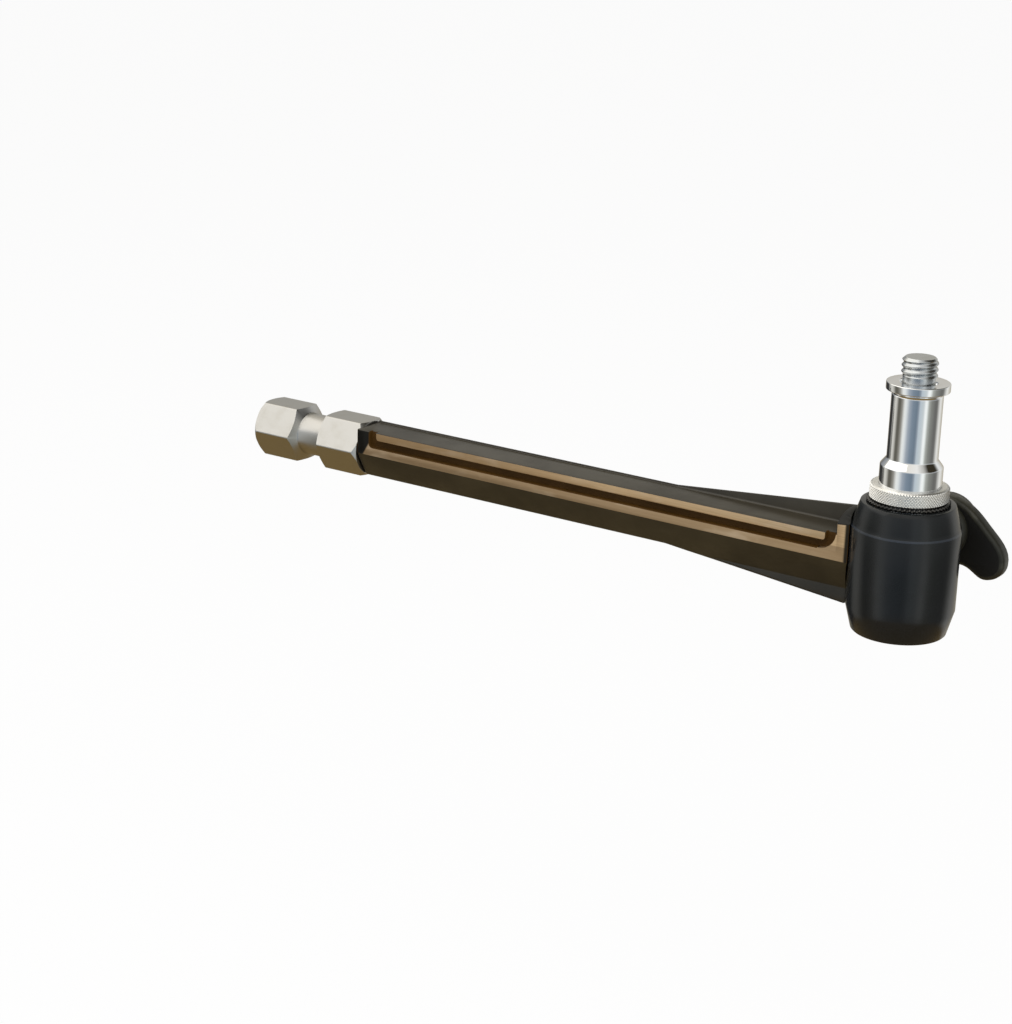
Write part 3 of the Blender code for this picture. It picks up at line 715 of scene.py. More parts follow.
class GeoTree:
    """A geometry-node tree that is built in Python and turned into a plain mesh."""

    def __init__(self, name: str) -> None:
        """Starts an empty tree.

        Args:
            name: the tree's name.
        """
        self.tree = bpy.data.node_groups.new(name, "GeometryNodeTree")
        self.tree.interface.new_socket("Geometry", in_out="OUTPUT", socket_type="NodeSocketGeometry")
        self.inputs: dict[str, Any] = {}
        self.start = None

    def size(self, name: str, value: float, whole: bool = False) -> None:
        """Adds a named input with its value."""
        kind = "NodeSocketInt" if whole else "NodeSocketFloat"
        socket = self.tree.interface.new_socket(name, in_out="INPUT", socket_type=kind)
        self.inputs[name] = (socket.identifier, value)

    def given(self, name: str) -> Any:
        """The socket of a named input."""
        if self.start is None:
            self.start = self.tree.nodes.new("NodeGroupInput")
        return self.start.outputs[name]

    def node(self, kind: str, settings: dict[str, Any] | None = None, inputs: Any = None) -> Any:
        """Adds a node and feeds its inputs, by position or by name.

        Args:
            kind: the node's type name.
            settings: its properties.
            inputs: values or sockets.

        Returns:
            The node.
        """
        made = self.tree.nodes.new(kind)
        for name, value in (settings or {}).items():
            setattr(made, name, value)
        pairs = enumerate(inputs) if isinstance(inputs, (list, tuple)) else (inputs or {}).items()
        for key, value in pairs:
            if isinstance(value, bpy.types.NodeSocket):
                self.tree.links.new(value, made.inputs[key])
            elif value is not None:
                made.inputs[key].default_value = value
        return made

    def math(self, operation: str, *values: Any) -> Any:
        """The result of a Math node."""
        return self.node("ShaderNodeMath", {"operation": operation}, list(values)).outputs[0]

    def finished(self, name: str, geometry: Any, finish: Finish) -> bpy.types.Object:
        """Ends the tree and runs it.

        Args:
            name: the piece's name.
            geometry: the last geometry socket.
            finish: the material that the tree sets.

        Returns:
            The piece as a plain mesh object.
        """
        real = self.node("GeometryNodeRealizeInstances", None, [geometry])
        dressed = self.node("GeometryNodeSetMaterial", None, {"Geometry": real.outputs[0]})
        dressed.inputs["Material"].default_value = finish.material()
        self.node("NodeGroupOutput", None, [dressed.outputs[0]])
        obj = object_of(name, bpy.data.meshes.new(name))
        modifier = obj.modifiers.new("build", "NODES")
        modifier.node_group = self.tree
        for identifier, value in self.inputs.values():
            modifier[identifier] = value
        return baked(obj)


@dataclass
class ThreadTree:
    """A screw thread on a round bar, as one closed skin."""

    radius: float
    pitch: float
    depth: float
    low: float
    high: float
    chamfer: float
    steps: int = 96
    rows_per_turn: int = 14

    def build(self, name: str, finish: Finish) -> bpy.types.Object:
        """Runs the tree.

        Args:
            name: the piece's name.
            finish: the material that it gets.

        Returns:
            The threaded bar along +Z.
        """
        tree = GeoTree(name + "_tree")
        tree.size("Radius", self.radius)
        tree.size("Pitch", self.pitch)
        tree.size("Depth", self.depth)
        tree.size("Low", self.low)
        tree.size("High", self.high)
        tree.size("Chamfer", self.chamfer)
        rows = max(2, round((self.high - self.low) / self.pitch * self.rows_per_turn))
        length = tree.math("SUBTRACT", tree.given("High"), tree.given("Low"))
        bar = tree.node(
            "GeometryNodeMeshCylinder",
            {"fill_type": "NGON"},
            {
                "Vertices": self.steps,
                "Side Segments": rows,
                "Fill Segments": 1,
                "Radius": tree.given("Radius"),
                "Depth": length,
            },
        )
        place = tree.node("GeometryNodeInputPosition").outputs[0]
        parts = tree.node("ShaderNodeSeparateXYZ", None, [place]).outputs
        half = tree.math("DIVIDE", length, 2.0)
        height = tree.math("ADD", parts[2], half)
        turn = tree.math("DIVIDE", tree.math("ARCTAN2", parts[1], parts[0]), math.tau)
        phase = tree.math("SUBTRACT", tree.math("DIVIDE", height, tree.given("Pitch")), turn)
        saw = tree.math("PINGPONG", phase, 0.5)
        flank = tree.node(
            "ShaderNodeMapRange", {"clamp": True}, [saw, 0.06, 0.44, 0.0, 1.0]
        ).outputs[0]
        valley = tree.math("MULTIPLY", flank, tree.given("Depth"))
        from_top = tree.math("SUBTRACT", length, height)
        lead = tree.math("MAXIMUM", tree.math("SUBTRACT", tree.given("Chamfer"), from_top), 0.0)
        inward = tree.math("MAXIMUM", valley, lead)
        share = tree.math("SUBTRACT", 1.0, tree.math("DIVIDE", inward, tree.given("Radius")))
        up = tree.math("ADD", height, tree.given("Low"))
        moved = tree.node(
            "ShaderNodeCombineXYZ",
            None,
            [tree.math("MULTIPLY", parts[0], share), tree.math("MULTIPLY", parts[1], share), up],
        ).outputs[0]
        shaped = tree.node("GeometryNodeSetPosition", None, {"Geometry": bar.outputs[0], "Position": moved})
        return tree.finished(name, shaped.outputs[0], finish)


@dataclass
class KnurlTree:
    """Small pyramids in a crossed pattern round a ring, each a few faces."""

    radius: float
    low: float
    high: float
    teeth: int
    rows: int
    tooth: float

    def build(self, name: str, finish: Finish) -> bpy.types.Object:
        """Runs the tree.

        Args:
            name: the piece's name.
            finish: the material that it gets.

        Returns:
            The knurl's teeth about the Z axis.
        """
        tree = GeoTree(name + "_tree")
        tree.size("Radius", self.radius)
        tree.size("Low", self.low)
        tree.size("High", self.high)
        tree.size("Teeth", self.teeth, True)
        tree.size("Rows", self.rows, True)
        tree.size("Tooth", self.tooth)
        count = tree.math("MULTIPLY", tree.given("Teeth"), tree.given("Rows"))
        seats = tree.node("GeometryNodePoints", None, {"Count": count})
        index = tree.node("GeometryNodeInputIndex").outputs[0]
        row = tree.math("FLOOR", tree.math("DIVIDE", index, tree.given("Teeth")))
        column = tree.math("ADD", index, tree.math("MULTIPLY", tree.math("MODULO", row, 2.0), 0.5))
        angle = tree.math("MULTIPLY", tree.math("DIVIDE", column, tree.given("Teeth")), math.tau)
        step = tree.math(
            "DIVIDE",
            tree.math("SUBTRACT", tree.given("High"), tree.given("Low")),
            tree.math("SUBTRACT", tree.given("Rows"), 1.0),
        )
        height = tree.math("ADD", tree.given("Low"), tree.math("MULTIPLY", row, step))
        x = tree.math("MULTIPLY", tree.math("COSINE", angle), tree.given("Radius"))
        y = tree.math("MULTIPLY", tree.math("SINE", angle), tree.given("Radius"))
        spot = tree.node("ShaderNodeCombineXYZ", None, [x, y, height]).outputs[0]
        placed = tree.node("GeometryNodeSetPosition", None, {"Geometry": seats.outputs[0], "Position": spot})
        pyramid = tree.node(
            "GeometryNodeMeshCone",
            {"fill_type": "NGON"},
            {
                "Vertices": 4,
                "Radius Top": 0.0,
                "Radius Bottom": tree.given("Tooth"),
                "Depth": tree.math("MULTIPLY", tree.given("Tooth"), 0.8),
            },
        )
        way = tree.node("ShaderNodeCombineXYZ", None, [0.0, math.radians(90.0), angle]).outputs[0]
        copies = tree.node(
            "GeometryNodeInstanceOnPoints",
            None,
            {"Points": placed.outputs[0], "Instance": pyramid.outputs[0], "Rotation": way},
        )
        return tree.finished(name, copies.outputs[0], finish)


# The arm


@dataclass
class ArmCasting:
    """The cast arm: coated all over, with its front rail and lower strip faced to bare metal."""

    front_y: float = -8.0 * MM
    front_reach: float = 0.12 * MM
    groove_floor_y: float = -6.4 * MM
    groove_low_z: float = 2.4 * MM
    groove_right_x: float = 194.4 * MM
    groove_bottom_z: float = 2.65 * MM
    corner_radius: float = 4.8 * MM
    hump_x: float = 191.6 * MM
    end_x: float = 39.3 * MM
    rabbet_z: float = 7.3 * MM
    rabbet_y: float = 2.0 * MM
    edge: float = 0.24 * MM
    bead_radius: float = 0.22 * MM
    bead_start_x: float = 44.0 * MM
    bead_end_x: float = 192.0 * MM
    back_radius: float = 8.15 * MM
    flare_x: float = 141.5 * MM
    flare_slope: float = 0.09
    barrel_x: float = 210.0 * MM
    saddle_radius: float = 14.35 * MM
    web_y: float = -3.0 * MM
    web_top_z: float = -7.9 * MM
    web_depth: float = 3.0 * MM
    web_edge: float = 0.5 * MM
    skin: float = 0.03 * MM
    cove: float = 0.75 * MM
    cove_end_x: float = 191.0 * MM

    def build(self) -> None:
        """Dresses the casting, its faced strips, its parting line, its lower web and its cove."""
        piece = Piece.from_node("arm_casting", CAST_COAT, self.edge)
        self.face_strips(piece.obj)
        piece.place(Body.ARM, "arm_casting")
        self.parting_bead()
        self.lower_web()
        self.rabbet_cove()
        self.groove_corner_fill()

    def radius_at(self, x: float) -> float:
        """The casting's round radius at a place along it."""
        return self.back_radius + max(0.0, x - self.flare_x) * self.flare_slope

    def face_strips(self, obj: bpy.types.Object) -> None:
        """Gives the front plane the faced metal, the groove a warm brown painted shade, and the left end and the
        top by the barrel a darker painted shade.
        """
        obj.data.materials.append(FACED.material())
        obj.data.materials.append(GROOVE_PAINTED_SHADE.material())
        obj.data.materials.append(END_PAINTED_SHADE.material())
        for face in obj.data.polygons:
            x, y, z = face.center
            if abs(y - self.front_y) < self.front_reach and face.normal.y < -0.98:
                face.material_index = 1
            # Painted shade in the groove, with the coat kept on its upper front rim.
            elif self.front_y < y < self.groove_floor_y + self.skin and self.groove_low_z < z < self.rabbet_z:
                rim = y < self.front_y + self.edge + self.skin
                face.material_index = 0 if rim and z > self.rabbet_z - 2.0 * self.edge else 2
            # Painted shade on the left end and on the top by the barrel.
            elif x > self.hump_x and z > self.rabbet_z - self.skin or x < self.end_x:
                face.material_index = 3

    def parting_bead(self) -> None:
        """The fine raised line that the mould leaves along the casting's back."""
        sides = 8
        rings = []
        for x in (self.bead_start_x, self.flare_x, self.bead_end_x):
            ring = []
            for i in range(sides):
                angle = math.tau * i / sides
                y = self.radius_at(x) + self.bead_radius * (math.cos(angle) * 0.7 - 0.35)
                ring.append((x, y, self.bead_radius * math.sin(angle)))
            rings.append(ring)
        Piece(skinned("casting_parting_line", rings, 50.0), CAST_COAT).place(Body.ARM)

    def lower_web(self) -> None:
        """The upright web under the flare's sloping facet, from the facet's lower edge to the cone's underside."""
        start, end = self.flare_x, self.barrel_x
        profile = [
            (0.0, end),
            (self.radius_at(end) - self.skin, end),
            (self.radius_at(start) - self.skin, start),
            (0.0, start),
        ]
        web = turned("casting_web", profile, Axis.X, steps=192)
        low = (start - MM, self.web_y, -self.saddle_radius * 1.5)
        high = (end, self.web_y + self.web_depth, self.web_top_z)
        combined(web, box("web_block", low, high), "INTERSECT")
        reach = self.saddle_radius * 1.6
        saddle = turned(
            "web_saddle",
            [(0.0, reach), (self.saddle_radius, reach), (self.saddle_radius, -reach), (0.0, -reach)],
            at=(self.barrel_x, 0.0, 0.0),
        )
        combined(web, saddle, "DIFFERENCE")
        tidied(web.data, 0.4)
        Piece(smooth(bevelled(web, self.web_edge)), CAST_COAT).place(Body.ARM)

    def rabbet_cove(self) -> None:
        """The small hollow round in the flare's inner corner, along the foot of its upright wall."""
        steps = 6
        rings = []
        for x in (self.flare_x, self.flare_x + 12.0 * MM, self.cove_end_x):
            wall = math.sqrt(self.radius_at(x) ** 2 - self.rabbet_y**2) - self.rabbet_z
            size = min(self.cove, wall * 0.9)
            y, z = self.rabbet_y + self.skin, self.rabbet_z - self.skin
            ring = [(x, y, z)]
            for i in range(steps + 1):
                angle = math.radians(90.0 * i / steps)
                ring.append((x, y - size * (1.0 - math.sin(angle)), z + size * (1.0 - math.cos(angle))))
            rings.append(ring)
        Piece(skinned("rabbet_cove", rings, 50.0), CAST_COAT).place(Body.ARM)


    def groove_corner_fill(self) -> None:
        """Widens the curve where the groove turns up beside the barrel."""
        steps = 16
        radius = self.corner_radius
        middle_x = self.groove_right_x - radius
        middle_z = self.groove_bottom_z + radius
        margin = self.edge + 2.0 * self.skin
        outline = [(middle_x - margin, self.groove_bottom_z - margin), (middle_x - margin, self.groove_bottom_z)]
        for i in range(steps + 1):
            angle = math.radians(90.0 * i / steps)
            z = min(middle_z - radius * math.cos(angle), self.rabbet_z - self.edge)
            outline.append((middle_x + radius * math.sin(angle), z))
        outline.append((self.groove_right_x + margin, self.rabbet_z - self.edge))
        outline.append((self.groove_right_x + margin, self.groove_bottom_z - margin))
        rings = [[(x, y, z) for x, z in outline] for y in (self.front_y - 0.3 * self.skin, self.groove_floor_y)]
        Piece(skinned("groove_corner", rings, 40.0), FACED).place(Body.ARM)


@dataclass
class Stud:
    """The hexagonal stud with its locking groove, and the pin that holds it."""

    flats: float = 16.0 * MM
    end_x: float = 38.7 * MM
    chamfer: float = 1.2 * MM
    groove_x: float = 15.0 * MM
    groove_width: float = 8.0 * MM
    groove_radius: float = 6.2 * MM
    groove_slope: float = 1.6 * MM
    corner_round: float = 0.5 * MM
    corner_steps: int = 5

    def build(self) -> None:
        """Builds the stud's shown length, keeps its tenon, and dresses the pin."""
        self.hexagon()
        Piece.from_node("stud_roll_pin", DARK_STEEL).place(Body.ARM, "stud_roll_pin")

    def hexagon(self) -> None:
        """The turned blank with its end chamfers and groove, cut down to six flats with rounded corners."""
        corner = self.flats / 2.0 / math.cos(math.radians(30.0))
        groove_end = self.groove_x + self.groove_width
        profile = [
            (0.0, self.end_x),
            (corner - self.chamfer, self.end_x),
            (corner, self.end_x - self.chamfer),
            (corner, groove_end + self.groove_slope),
            (self.groove_radius, groove_end),
            (self.groove_radius, self.groove_x),
            (corner, self.groove_x - self.groove_slope),
            (corner, self.chamfer),
            (corner - self.chamfer, 0.0),
            (0.0, 0.0),
        ]
        blank = turned("hex_stud_dressed", rounded(profile, 0.25 * MM), Axis.X, steps=240)
        inner = corner - self.corner_round / math.cos(math.radians(30.0))
        outline = []
        for side in range(6):
            middle = math.radians(60.0 * side + 30.0 - 90.0)
            for i in range(self.corner_steps + 1):
                angle = middle + math.radians(60.0 * i / self.corner_steps - 30.0)
                y = inner * math.cos(middle) + self.corner_round * math.cos(angle)
                z = inner * math.sin(middle) + self.corner_round * math.sin(angle)
                outline.append((y, z))
        rings = [[(x, y, z) for y, z in outline] for x in (-MM, self.end_x + MM)]
        combined(blank, skinned("hex_prism", rings, 20.0), "INTERSECT")
        tidied(blank.data, 0.05)
        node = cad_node("hex_stud").data.copy()
        tenon = object_of("stud_tenon", node)
        combined(tenon, box("tenon_keep", (self.end_x, -corner, -corner), (90.0 * MM, corner, corner)), "INTERSECT")
        Piece(smooth(tenon), STUD_STEEL).place(Body.ARM)
        Piece(smooth(blank, 24.0), STUD_STEEL).place(Body.ARM, "hex_stud")


@dataclass
class Barrel:
    """The upright barrel with what sits in it."""

    x: float = 210.0 * MM
    edge: float = 0.08 * MM
    rim_low: float = 10.3 * MM
    rim_high: float = 10.95 * MM
    rim_slope: float = 0.25
    serration_radius: float = 10.35 * MM
    serration_low: float = 17.5 * MM
    serration_high: float = 17.75 * MM
    serration_count: int = 54
    serration_tooth: float = 0.42 * MM
    hidden: dict[str, Finish] = field(
        default_factory=lambda: {
            "socket_bush": BRASS,
            "bottom_plug": DARK_STEEL,
            "barrel_screw_upper": DARK_STEEL,
            "barrel_screw_lower": DARK_STEEL,
            "mouth_washer": DARK_STEEL,
            "lock_lug": LOCK_STEEL,
        }
    )

    def build(self) -> None:
        """Dresses the barrel, with a painted highlight on its chamfer band, and the pieces in it."""
        piece = Piece.from_node("socket_barrel", BARREL_COAT, self.edge)
        piece.obj.data.materials.append(RIM_PAINTED_HIGHLIGHT.material())
        # Painted highlight on the chamfer band between the barrel's side and its dome.
        for face in piece.obj.data.polygons:
            if self.rim_low < face.center.z < self.rim_high and face.normal.z > self.rim_slope:
                face.material_index = 1
        piece.place(Body.ARM, "socket_barrel")
        for node, finish in self.hidden.items():
            Piece.from_node(node, finish).place(Body.ARM, node)
        teeth = KnurlTree(
            self.serration_radius,
            self.serration_low,
            self.serration_high,
            self.serration_count,
            2,
            self.serration_tooth,
        ).build("washer_teeth", DARK_STEEL)
        teeth.data.transform(Matrix.Translation((self.x, 0.0, 0.0)))
        Piece(teeth, DARK_STEEL).place(Body.ARM)


@dataclass
class Spigot:
    """The plated spigot with its thread and its knurled ring."""

    x: float = 210.0 * MM
    radius: float = 8.0 * MM
    neck_radius: float = 6.5 * MM
    flange_radius: float = 8.05 * MM
    flange_z: float = 46.4 * MM
    top_z: float = 48.5 * MM
    shoulder_z: float = 26.9 * MM
    shoulder_rise: float = 1.9 * MM
    foot_z: float = -13.8 * MM
    undercut: float = 0.45 * MM
    undercut_height: float = 1.1 * MM
    thread_radius: float = 4.6 * MM
    thread_pitch: float = 1.5875 * MM
    thread_depth: float = 0.5 * MM
    relief_radius: float = 4.15 * MM
    relief_z: float = 50.2 * MM
    thread_top_z: float = 54.9 * MM
    thread_chamfer: float = 0.8 * MM
    ring_radius: float = 9.98 * MM
    ring_z: float = 18.15 * MM
    ring_height: float = 3.75 * MM
    knurl_count: int = 84
    knurl_rows: int = 8
    knurl_tooth: float = 0.40 * MM

    def build(self) -> None:
        """Builds the spigot, its thread, its ring and the small parts on it."""
        self.body()
        self.thread()
        self.ring()
        for node in ("ring_set_screw", "spigot_circlip"):
            Piece.from_node(node, DARK_STEEL).place(Body.SPIGOT, node)

    def body(self) -> None:
        """The turned body with its neck and flange, its edges softly broken."""
        seat_r = self.thread_radius + 0.25 * MM
        profile = [
            (0.0, self.top_z - 1.0 * MM),
            (seat_r - 0.4 * MM, self.top_z - 1.0 * MM),
            (seat_r, self.top_z),
            (self.flange_radius, self.top_z),
            (self.flange_radius, self.flange_z),
            (self.neck_radius - self.undercut, self.flange_z),
            (self.neck_radius - self.undercut, self.flange_z - self.undercut_height * 0.6),
            (self.neck_radius, self.flange_z - self.undercut_height),
            (self.neck_radius, self.shoulder_z + self.shoulder_rise),
            (self.radius, self.shoulder_z),
            (self.radius, self.foot_z + 0.5 * MM),
            (self.radius - 0.5 * MM, self.foot_z),
            (0.0, self.foot_z),
        ]
        obj = turned("spigot_dressed", rounded(profile, 0.28 * MM), Axis.Z, (self.x, 0.0, 0.0), 192)
        Piece(obj, CHROME).place(Body.SPIGOT, "spigot_body")

    def thread(self) -> None:
        """The threaded stud, with its lead-in at the tip."""
        tree = ThreadTree(
            self.thread_radius,
            self.thread_pitch,
            self.thread_depth,
            self.relief_z,
            self.thread_top_z,
            self.thread_chamfer,
        )
        obj = tree.build("thread_dressed", THREAD_STEEL)
        obj.data.transform(Matrix.Translation((self.x, 0.0, 0.0)))
        tidied(obj.data)
        Piece(smooth(obj, 38.0), THREAD_STEEL).place(Body.SPIGOT, "thread_stud")
        profile = [
            (0.0, self.relief_z + self.thread_depth),
            (self.relief_radius, self.relief_z + self.thread_depth),
            (self.relief_radius, self.top_z - 0.9 * MM),
            (0.0, self.top_z - 0.9 * MM),
        ]
        relief = turned("thread_relief", profile, Axis.Z, (self.x, 0.0, 0.0), 96)
        Piece(relief, THREAD_STEEL).place(Body.SPIGOT)

    def ring(self) -> None:
        """The ring with a crossed knurl on its rim."""
        inner = self.radius + 0.05 * MM
        top = self.ring_z + self.ring_height
        core = self.ring_radius - self.knurl_tooth * 0.45
        profile = [
            (inner, top),
            (core - 0.5 * MM, top),
            (core, top - 0.35 * MM),
            (core, self.ring_z + 0.2 * MM),
            (core - 0.2 * MM, self.ring_z),
            (inner, self.ring_z),
        ]
        ring = turned("ring_core", rounded(profile, 0.2 * MM), Axis.Z, (self.x, 0.0, 0.0), 192)
        Piece(ring, KNURL_PLATE).place(Body.SPIGOT, "knurled_ring")
        teeth = KnurlTree(
            core,
            self.ring_z + 0.35 * MM,
            top - 0.5 * MM,
            self.knurl_count,
            self.knurl_rows,
            self.knurl_tooth,
        ).build("ring_knurl", KNURL_PLATE)
        teeth.data.transform(Matrix.Translation((self.x, 0.0, 0.0)))
        Piece(teeth, KNURL_PLATE).place(Body.SPIGOT)


@dataclass
class Lock:
    """The wing knob, the screw that it turns and the shoe that the screw presses."""

    x: float = 210.0 * MM
    z: float = 5.0 * MM
    wing_front_y: float = 20.6 * MM
    wing_reach: float = 0.05 * MM
    screw_radius: float = 3.0 * MM
    screw_pitch: float = 1.25 * MM
    screw_thread: float = 0.5 * MM
    screw_start_y: float = 11.7 * MM
    screw_end_y: float = 26.2 * MM
    screw_chamfer: float = 0.5 * MM

    def build(self) -> None:
        """Dresses the lock's pieces."""
        self.wings()
        self.screw()
        Piece.from_node("knob_cap", KNOB_PLASTIC, 0.1 * MM).place(Body.KNOB, "knob_cap")
        Piece.from_node("knob_cross_pin", LOCK_STEEL).place(Body.KNOB, "knob_cross_pin")
        Piece.from_node("thrust_washer", LOCK_STEEL).place(Body.KNOB, "thrust_washer")
        Piece.from_node("brake_shoe", BRASS).place(Body.SHOE, "brake_shoe")

    def wings(self) -> None:
        """The knob, with painted shade on the wings' front faces."""
        piece = Piece.from_node("wing_knob", KNOB_PLASTIC)
        mesh = piece.obj.data
        mesh.materials.append(KNOB_FRONT_PAINTED_SHADE.material())
        for face in mesh.polygons:
            if face.normal.y < -0.99 and abs(face.center.y - self.wing_front_y) < self.wing_reach:
                face.material_index = 1
        piece.place(Body.KNOB, "wing_knob")

    def screw(self) -> None:
        """The threaded lock screw along Y."""
        tree = ThreadTree(
            self.screw_radius,
            self.screw_pitch,
            self.screw_thread,
            self.screw_start_y,
            self.screw_end_y,
            self.screw_chamfer,
        )
        obj = tree.build("lock_screw_dressed", DARK_STEEL)
        obj.data.transform(Matrix.Translation((self.x, 0.0, self.z)) @ Axis.Y.matrix())
        tidied(obj.data)
        Piece(smooth(obj, 38.0), DARK_STEEL).place(Body.KNOB, "lock_screw")


# Studio


# What stands round the arm, as seen in its bright metal: degrees from the camera's side, and colour
WALLS = [
    (-180, (0.40, 0.35, 0.26)),
    (-165, (0.34, 0.31, 0.24)),
    (-152, (0.04, 0.04, 0.04)),
    (-128, (0.04, 0.04, 0.04)),
    (-118, (0.45, 0.45, 0.42)),
    (-104, (0.68, 0.67, 0.62)),
    (-96, (0.50, 0.49, 0.45)),
    (-86, (0.13, 0.125, 0.105)),
    (-76, (0.13, 0.125, 0.105)),
    (-64, (0.32, 0.31, 0.28)),
    (-52, (0.86, 0.88, 0.86)),
    (-44, (0.80, 0.84, 0.85)),
    (-30, (0.38, 0.43, 0.49)),
    (-15, (0.22, 0.28, 0.35)),
    (3, (0.17, 0.225, 0.285)),
    (10, (0.28, 0.33, 0.39)),
    (16, (0.52, 0.60, 0.66)),
    (32, (0.62, 0.68, 0.70)),
    (40, (0.97, 1.0, 1.0)),
    (46, (0.95, 1.0, 0.98)),
    (56, (0.42, 0.44, 0.41)),
    (68, (0.25, 0.26, 0.24)),
    (92, (0.15, 0.15, 0.145)),
    (102, (0.18, 0.18, 0.17)),
    (112, (0.50, 0.50, 0.48)),
    (125, (0.85, 0.85, 0.82)),
    (150, (0.55, 0.52, 0.45)),
    (180, (0.40, 0.35, 0.26)),
]
CEILING = [
    (-180, (0.60, 0.58, 0.52)),
    (-120, (0.80, 0.74, 0.62)),
    (-50, (0.85, 0.82, 0.74)),
    (30, (0.90, 0.90, 0.88)),
    (60, (0.55, 0.55, 0.52)),
    (80, (0.035, 0.03, 0.02)),
    (150, (0.035, 0.03, 0.02)),
    (168, (0.45, 0.45, 0.38)),
    (180, (0.60, 0.58, 0.52)),
]


def stops_of(ring: list[tuple[int, Colour]]) -> list[tuple[float, Colour]]:
    """A ring of colours by degrees as the stops of a colour ramp."""
    return [(degrees / 360.0 + 0.5, colour) for degrees, colour in ring]


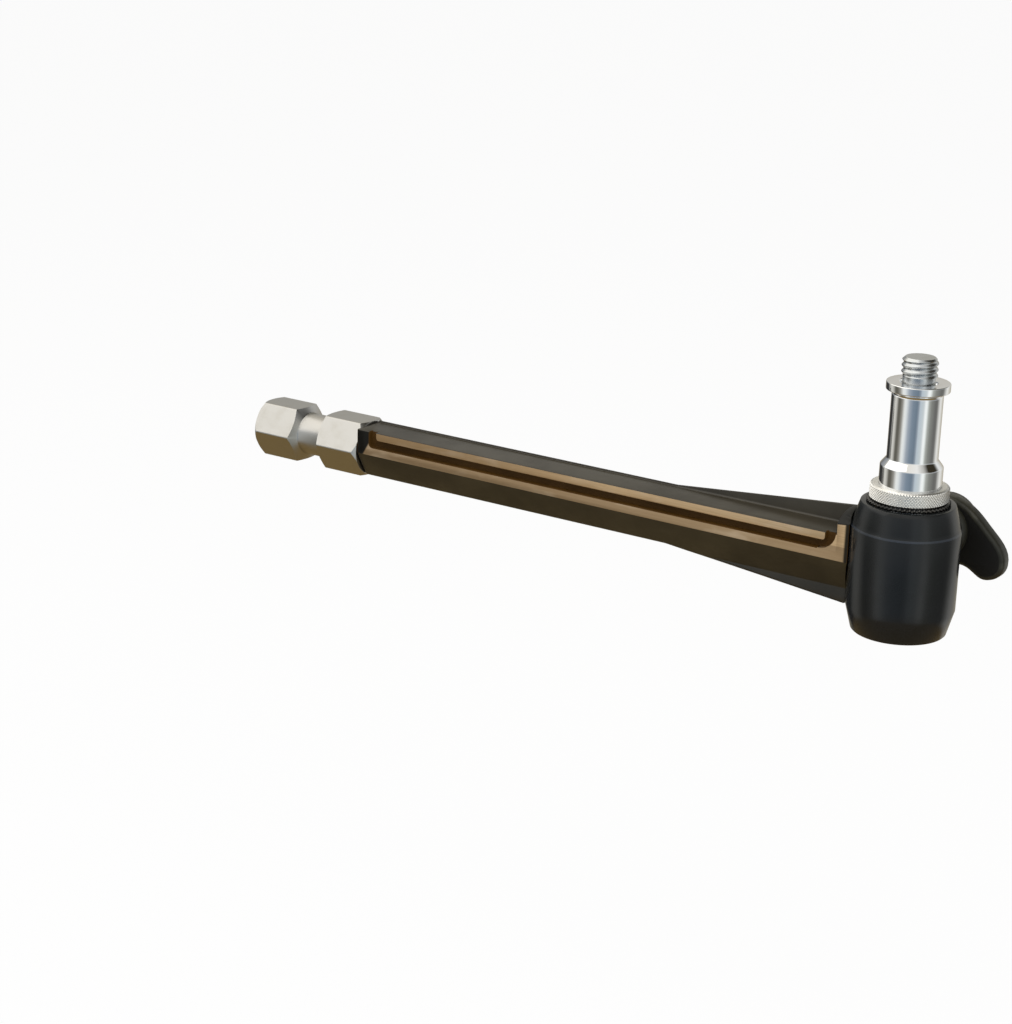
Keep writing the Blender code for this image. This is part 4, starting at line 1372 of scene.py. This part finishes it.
@dataclass
class Studio:
    """The pale floor, the soft lights and the camera."""

    camera_at: Colour = (0.43827, -0.52001, 0.18551)
    look: Colour = (-0.53443285, 0.79093823, -0.29799036)
    up: Colour = (-0.19231592, 0.22952109, 0.95411459)
    focal_px: float = 2300.0
    frame_px: float = 1024.0
    sensor_mm: float = 36.0
    floor_z: float = -0.16
    floor_size: float = 40.0
    floor_share: float = 0.93
    target: Colour = (0.13, 0.0, 0.01)
    toward: tuple[float, float] = (0.4015, -0.9158)
    ground: Colour = (0.27, 0.19, 0.08)

    def build(self) -> None:
        """Sets up everything round the object."""
        scene = bpy.context.scene
        scene.view_settings.view_transform = "Standard"
        self.world(scene)
        self.floor()
        self.lights()
        self.camera(scene)

    def camera(self, scene: bpy.types.Scene) -> None:
        """Puts the camera where the photograph was taken from."""
        data = bpy.data.cameras.new("camera")
        data.sensor_width = self.sensor_mm
        data.lens = self.focal_px / self.frame_px * self.sensor_mm
        data.clip_start = 0.01
        data.clip_end = 50.0
        obj = bpy.data.objects.new("camera", data)
        scene.collection.objects.link(obj)
        look = Vector(self.look).normalized()
        right = look.cross(Vector(self.up)).normalized()
        up = right.cross(look)
        turn = Matrix((right, up, -look)).transposed().to_4x4()
        obj.matrix_world = Matrix.Translation(self.camera_at) @ turn
        scene.camera = obj

    def lights(self) -> None:
        """Two large soft panels: a key from above and a weaker one over the arm's left end."""
        self.panel("key_panel", (0.55, -0.55, 0.95), 0.9, 7.0, False)
        self.panel("edge_panel", (-0.35, -0.27, 0.72), 1.2, 3.6, True)

    def panel(self, name: str, at: Colour, side: float, power: float, reflected: bool) -> None:
        """Adds a square area light that faces the object.

        Args:
            name: the light's name.
            at: where it stands.
            side: its width and height.
            power: its power in watts.
            reflected: whether bright metal shows it.
        """
        data = bpy.data.lights.new(name, "AREA")
        data.shape = "SQUARE"
        data.size = side
        data.energy = power
        obj = bpy.data.objects.new(name, data)
        bpy.context.scene.collection.objects.link(obj)
        obj.location = at
        away = Vector(self.target) - Vector(at)
        obj.rotation_mode = "QUATERNION"
        obj.rotation_quaternion = away.to_track_quat("-Z", "Y")
        obj.visible_glossy = reflected

    def world(self, scene: bpy.types.Scene) -> None:
        """White to the camera, an even pale light, and a room of tall panels in reflections."""
        world = bpy.data.worlds.new("studio")
        scene.world = world
        kit = NodeKit(world)
        direction = kit.node("ShaderNodeTexCoord").outputs["Generated"]
        parts = kit.node("ShaderNodeSeparateXYZ", None, [direction])
        x, y, z = (Value(kit, out) for out in parts.outputs[:3])
        front = x * self.toward[0] + y * self.toward[1]
        side = y * self.toward[0] - x * self.toward[1]
        around = side.angle_from(front) / math.tau + 0.5
        walls = kit.node("ShaderNodeValToRGB", {"stops": stops_of(WALLS)}, [around]).outputs[0]
        ceiling = kit.node("ShaderNodeValToRGB", {"stops": stops_of(CEILING)}, [around]).outputs[0]
        walls = kit.mix(z.between(-0.15, 0.3) * 0.35, walls, (0.9, 0.95, 1.0))
        reflected = kit.mix(z.between(0.3, 0.5), walls, ceiling)
        reflected = kit.mix(z.between(-0.5, -0.62), reflected, self.ground)
        path = kit.node("ShaderNodeLightPath").outputs
        seen = kit.mix(path["Is Glossy Ray"], (0.50, 0.49, 0.47), reflected)
        seen = kit.mix(path["Is Camera Ray"], seen, (1.0, 1.0, 1.0))
        shader = kit.node("ShaderNodeBackground", None, {"Color": seen, "Strength": 1.0})
        kit.node("ShaderNodeOutputWorld", None, [shader.outputs[0]])

    def floor(self) -> None:
        """A wide pale floor that keeps a faint shadow."""
        half = self.floor_size / 2.0
        mesh = bpy.data.meshes.new("studio_floor")
        corners = [(-half, -half, 0.0), (half, -half, 0.0), (half, half, 0.0), (-half, half, 0.0)]
        mesh.from_pydata(corners, [], [(0, 1, 2, 3)])
        mesh.transform(Matrix.Translation((0.1, 0.0, self.floor_z)))
        obj = object_of("studio_floor", mesh)
        material = bpy.data.materials.new("floor_paint")
        kit = NodeKit(material)
        paint = kit.node("ShaderNodeBsdfDiffuse", None, {"Color": (0.88, 0.88, 0.88, 1.0)})
        glow = kit.node("ShaderNodeEmission", None, {"Color": (1.0, 1.0, 1.0, 1.0), "Strength": 1.0})
        path = kit.node("ShaderNodeLightPath").outputs
        share = Value(kit, path["Is Camera Ray"]) * self.floor_share
        both = kit.node("ShaderNodeMixShader", None, [share, paint.outputs[0], glow.outputs[0]])
        kit.node("ShaderNodeOutputMaterial", None, [both.outputs[0]])
        mesh.materials.append(material)
        obj.visible_glossy = False


def main() -> None:
    """Builds the arm piece by piece and the studio round it."""
    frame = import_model()
    NODES.update(frame["nodes"])
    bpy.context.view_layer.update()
    builders: list[tuple[str, Callable[[], None]]] = [
        ("casting", ArmCasting().build),
        ("stud", Stud().build),
        ("barrel", Barrel().build),
        ("spigot", Spigot().build),
        ("lock", Lock().build),
        ("studio", Studio().build),
    ]
    for name, build in builders:
        build()
        LOG.info("%s done", name)


if __name__ == "__main__":
    main()
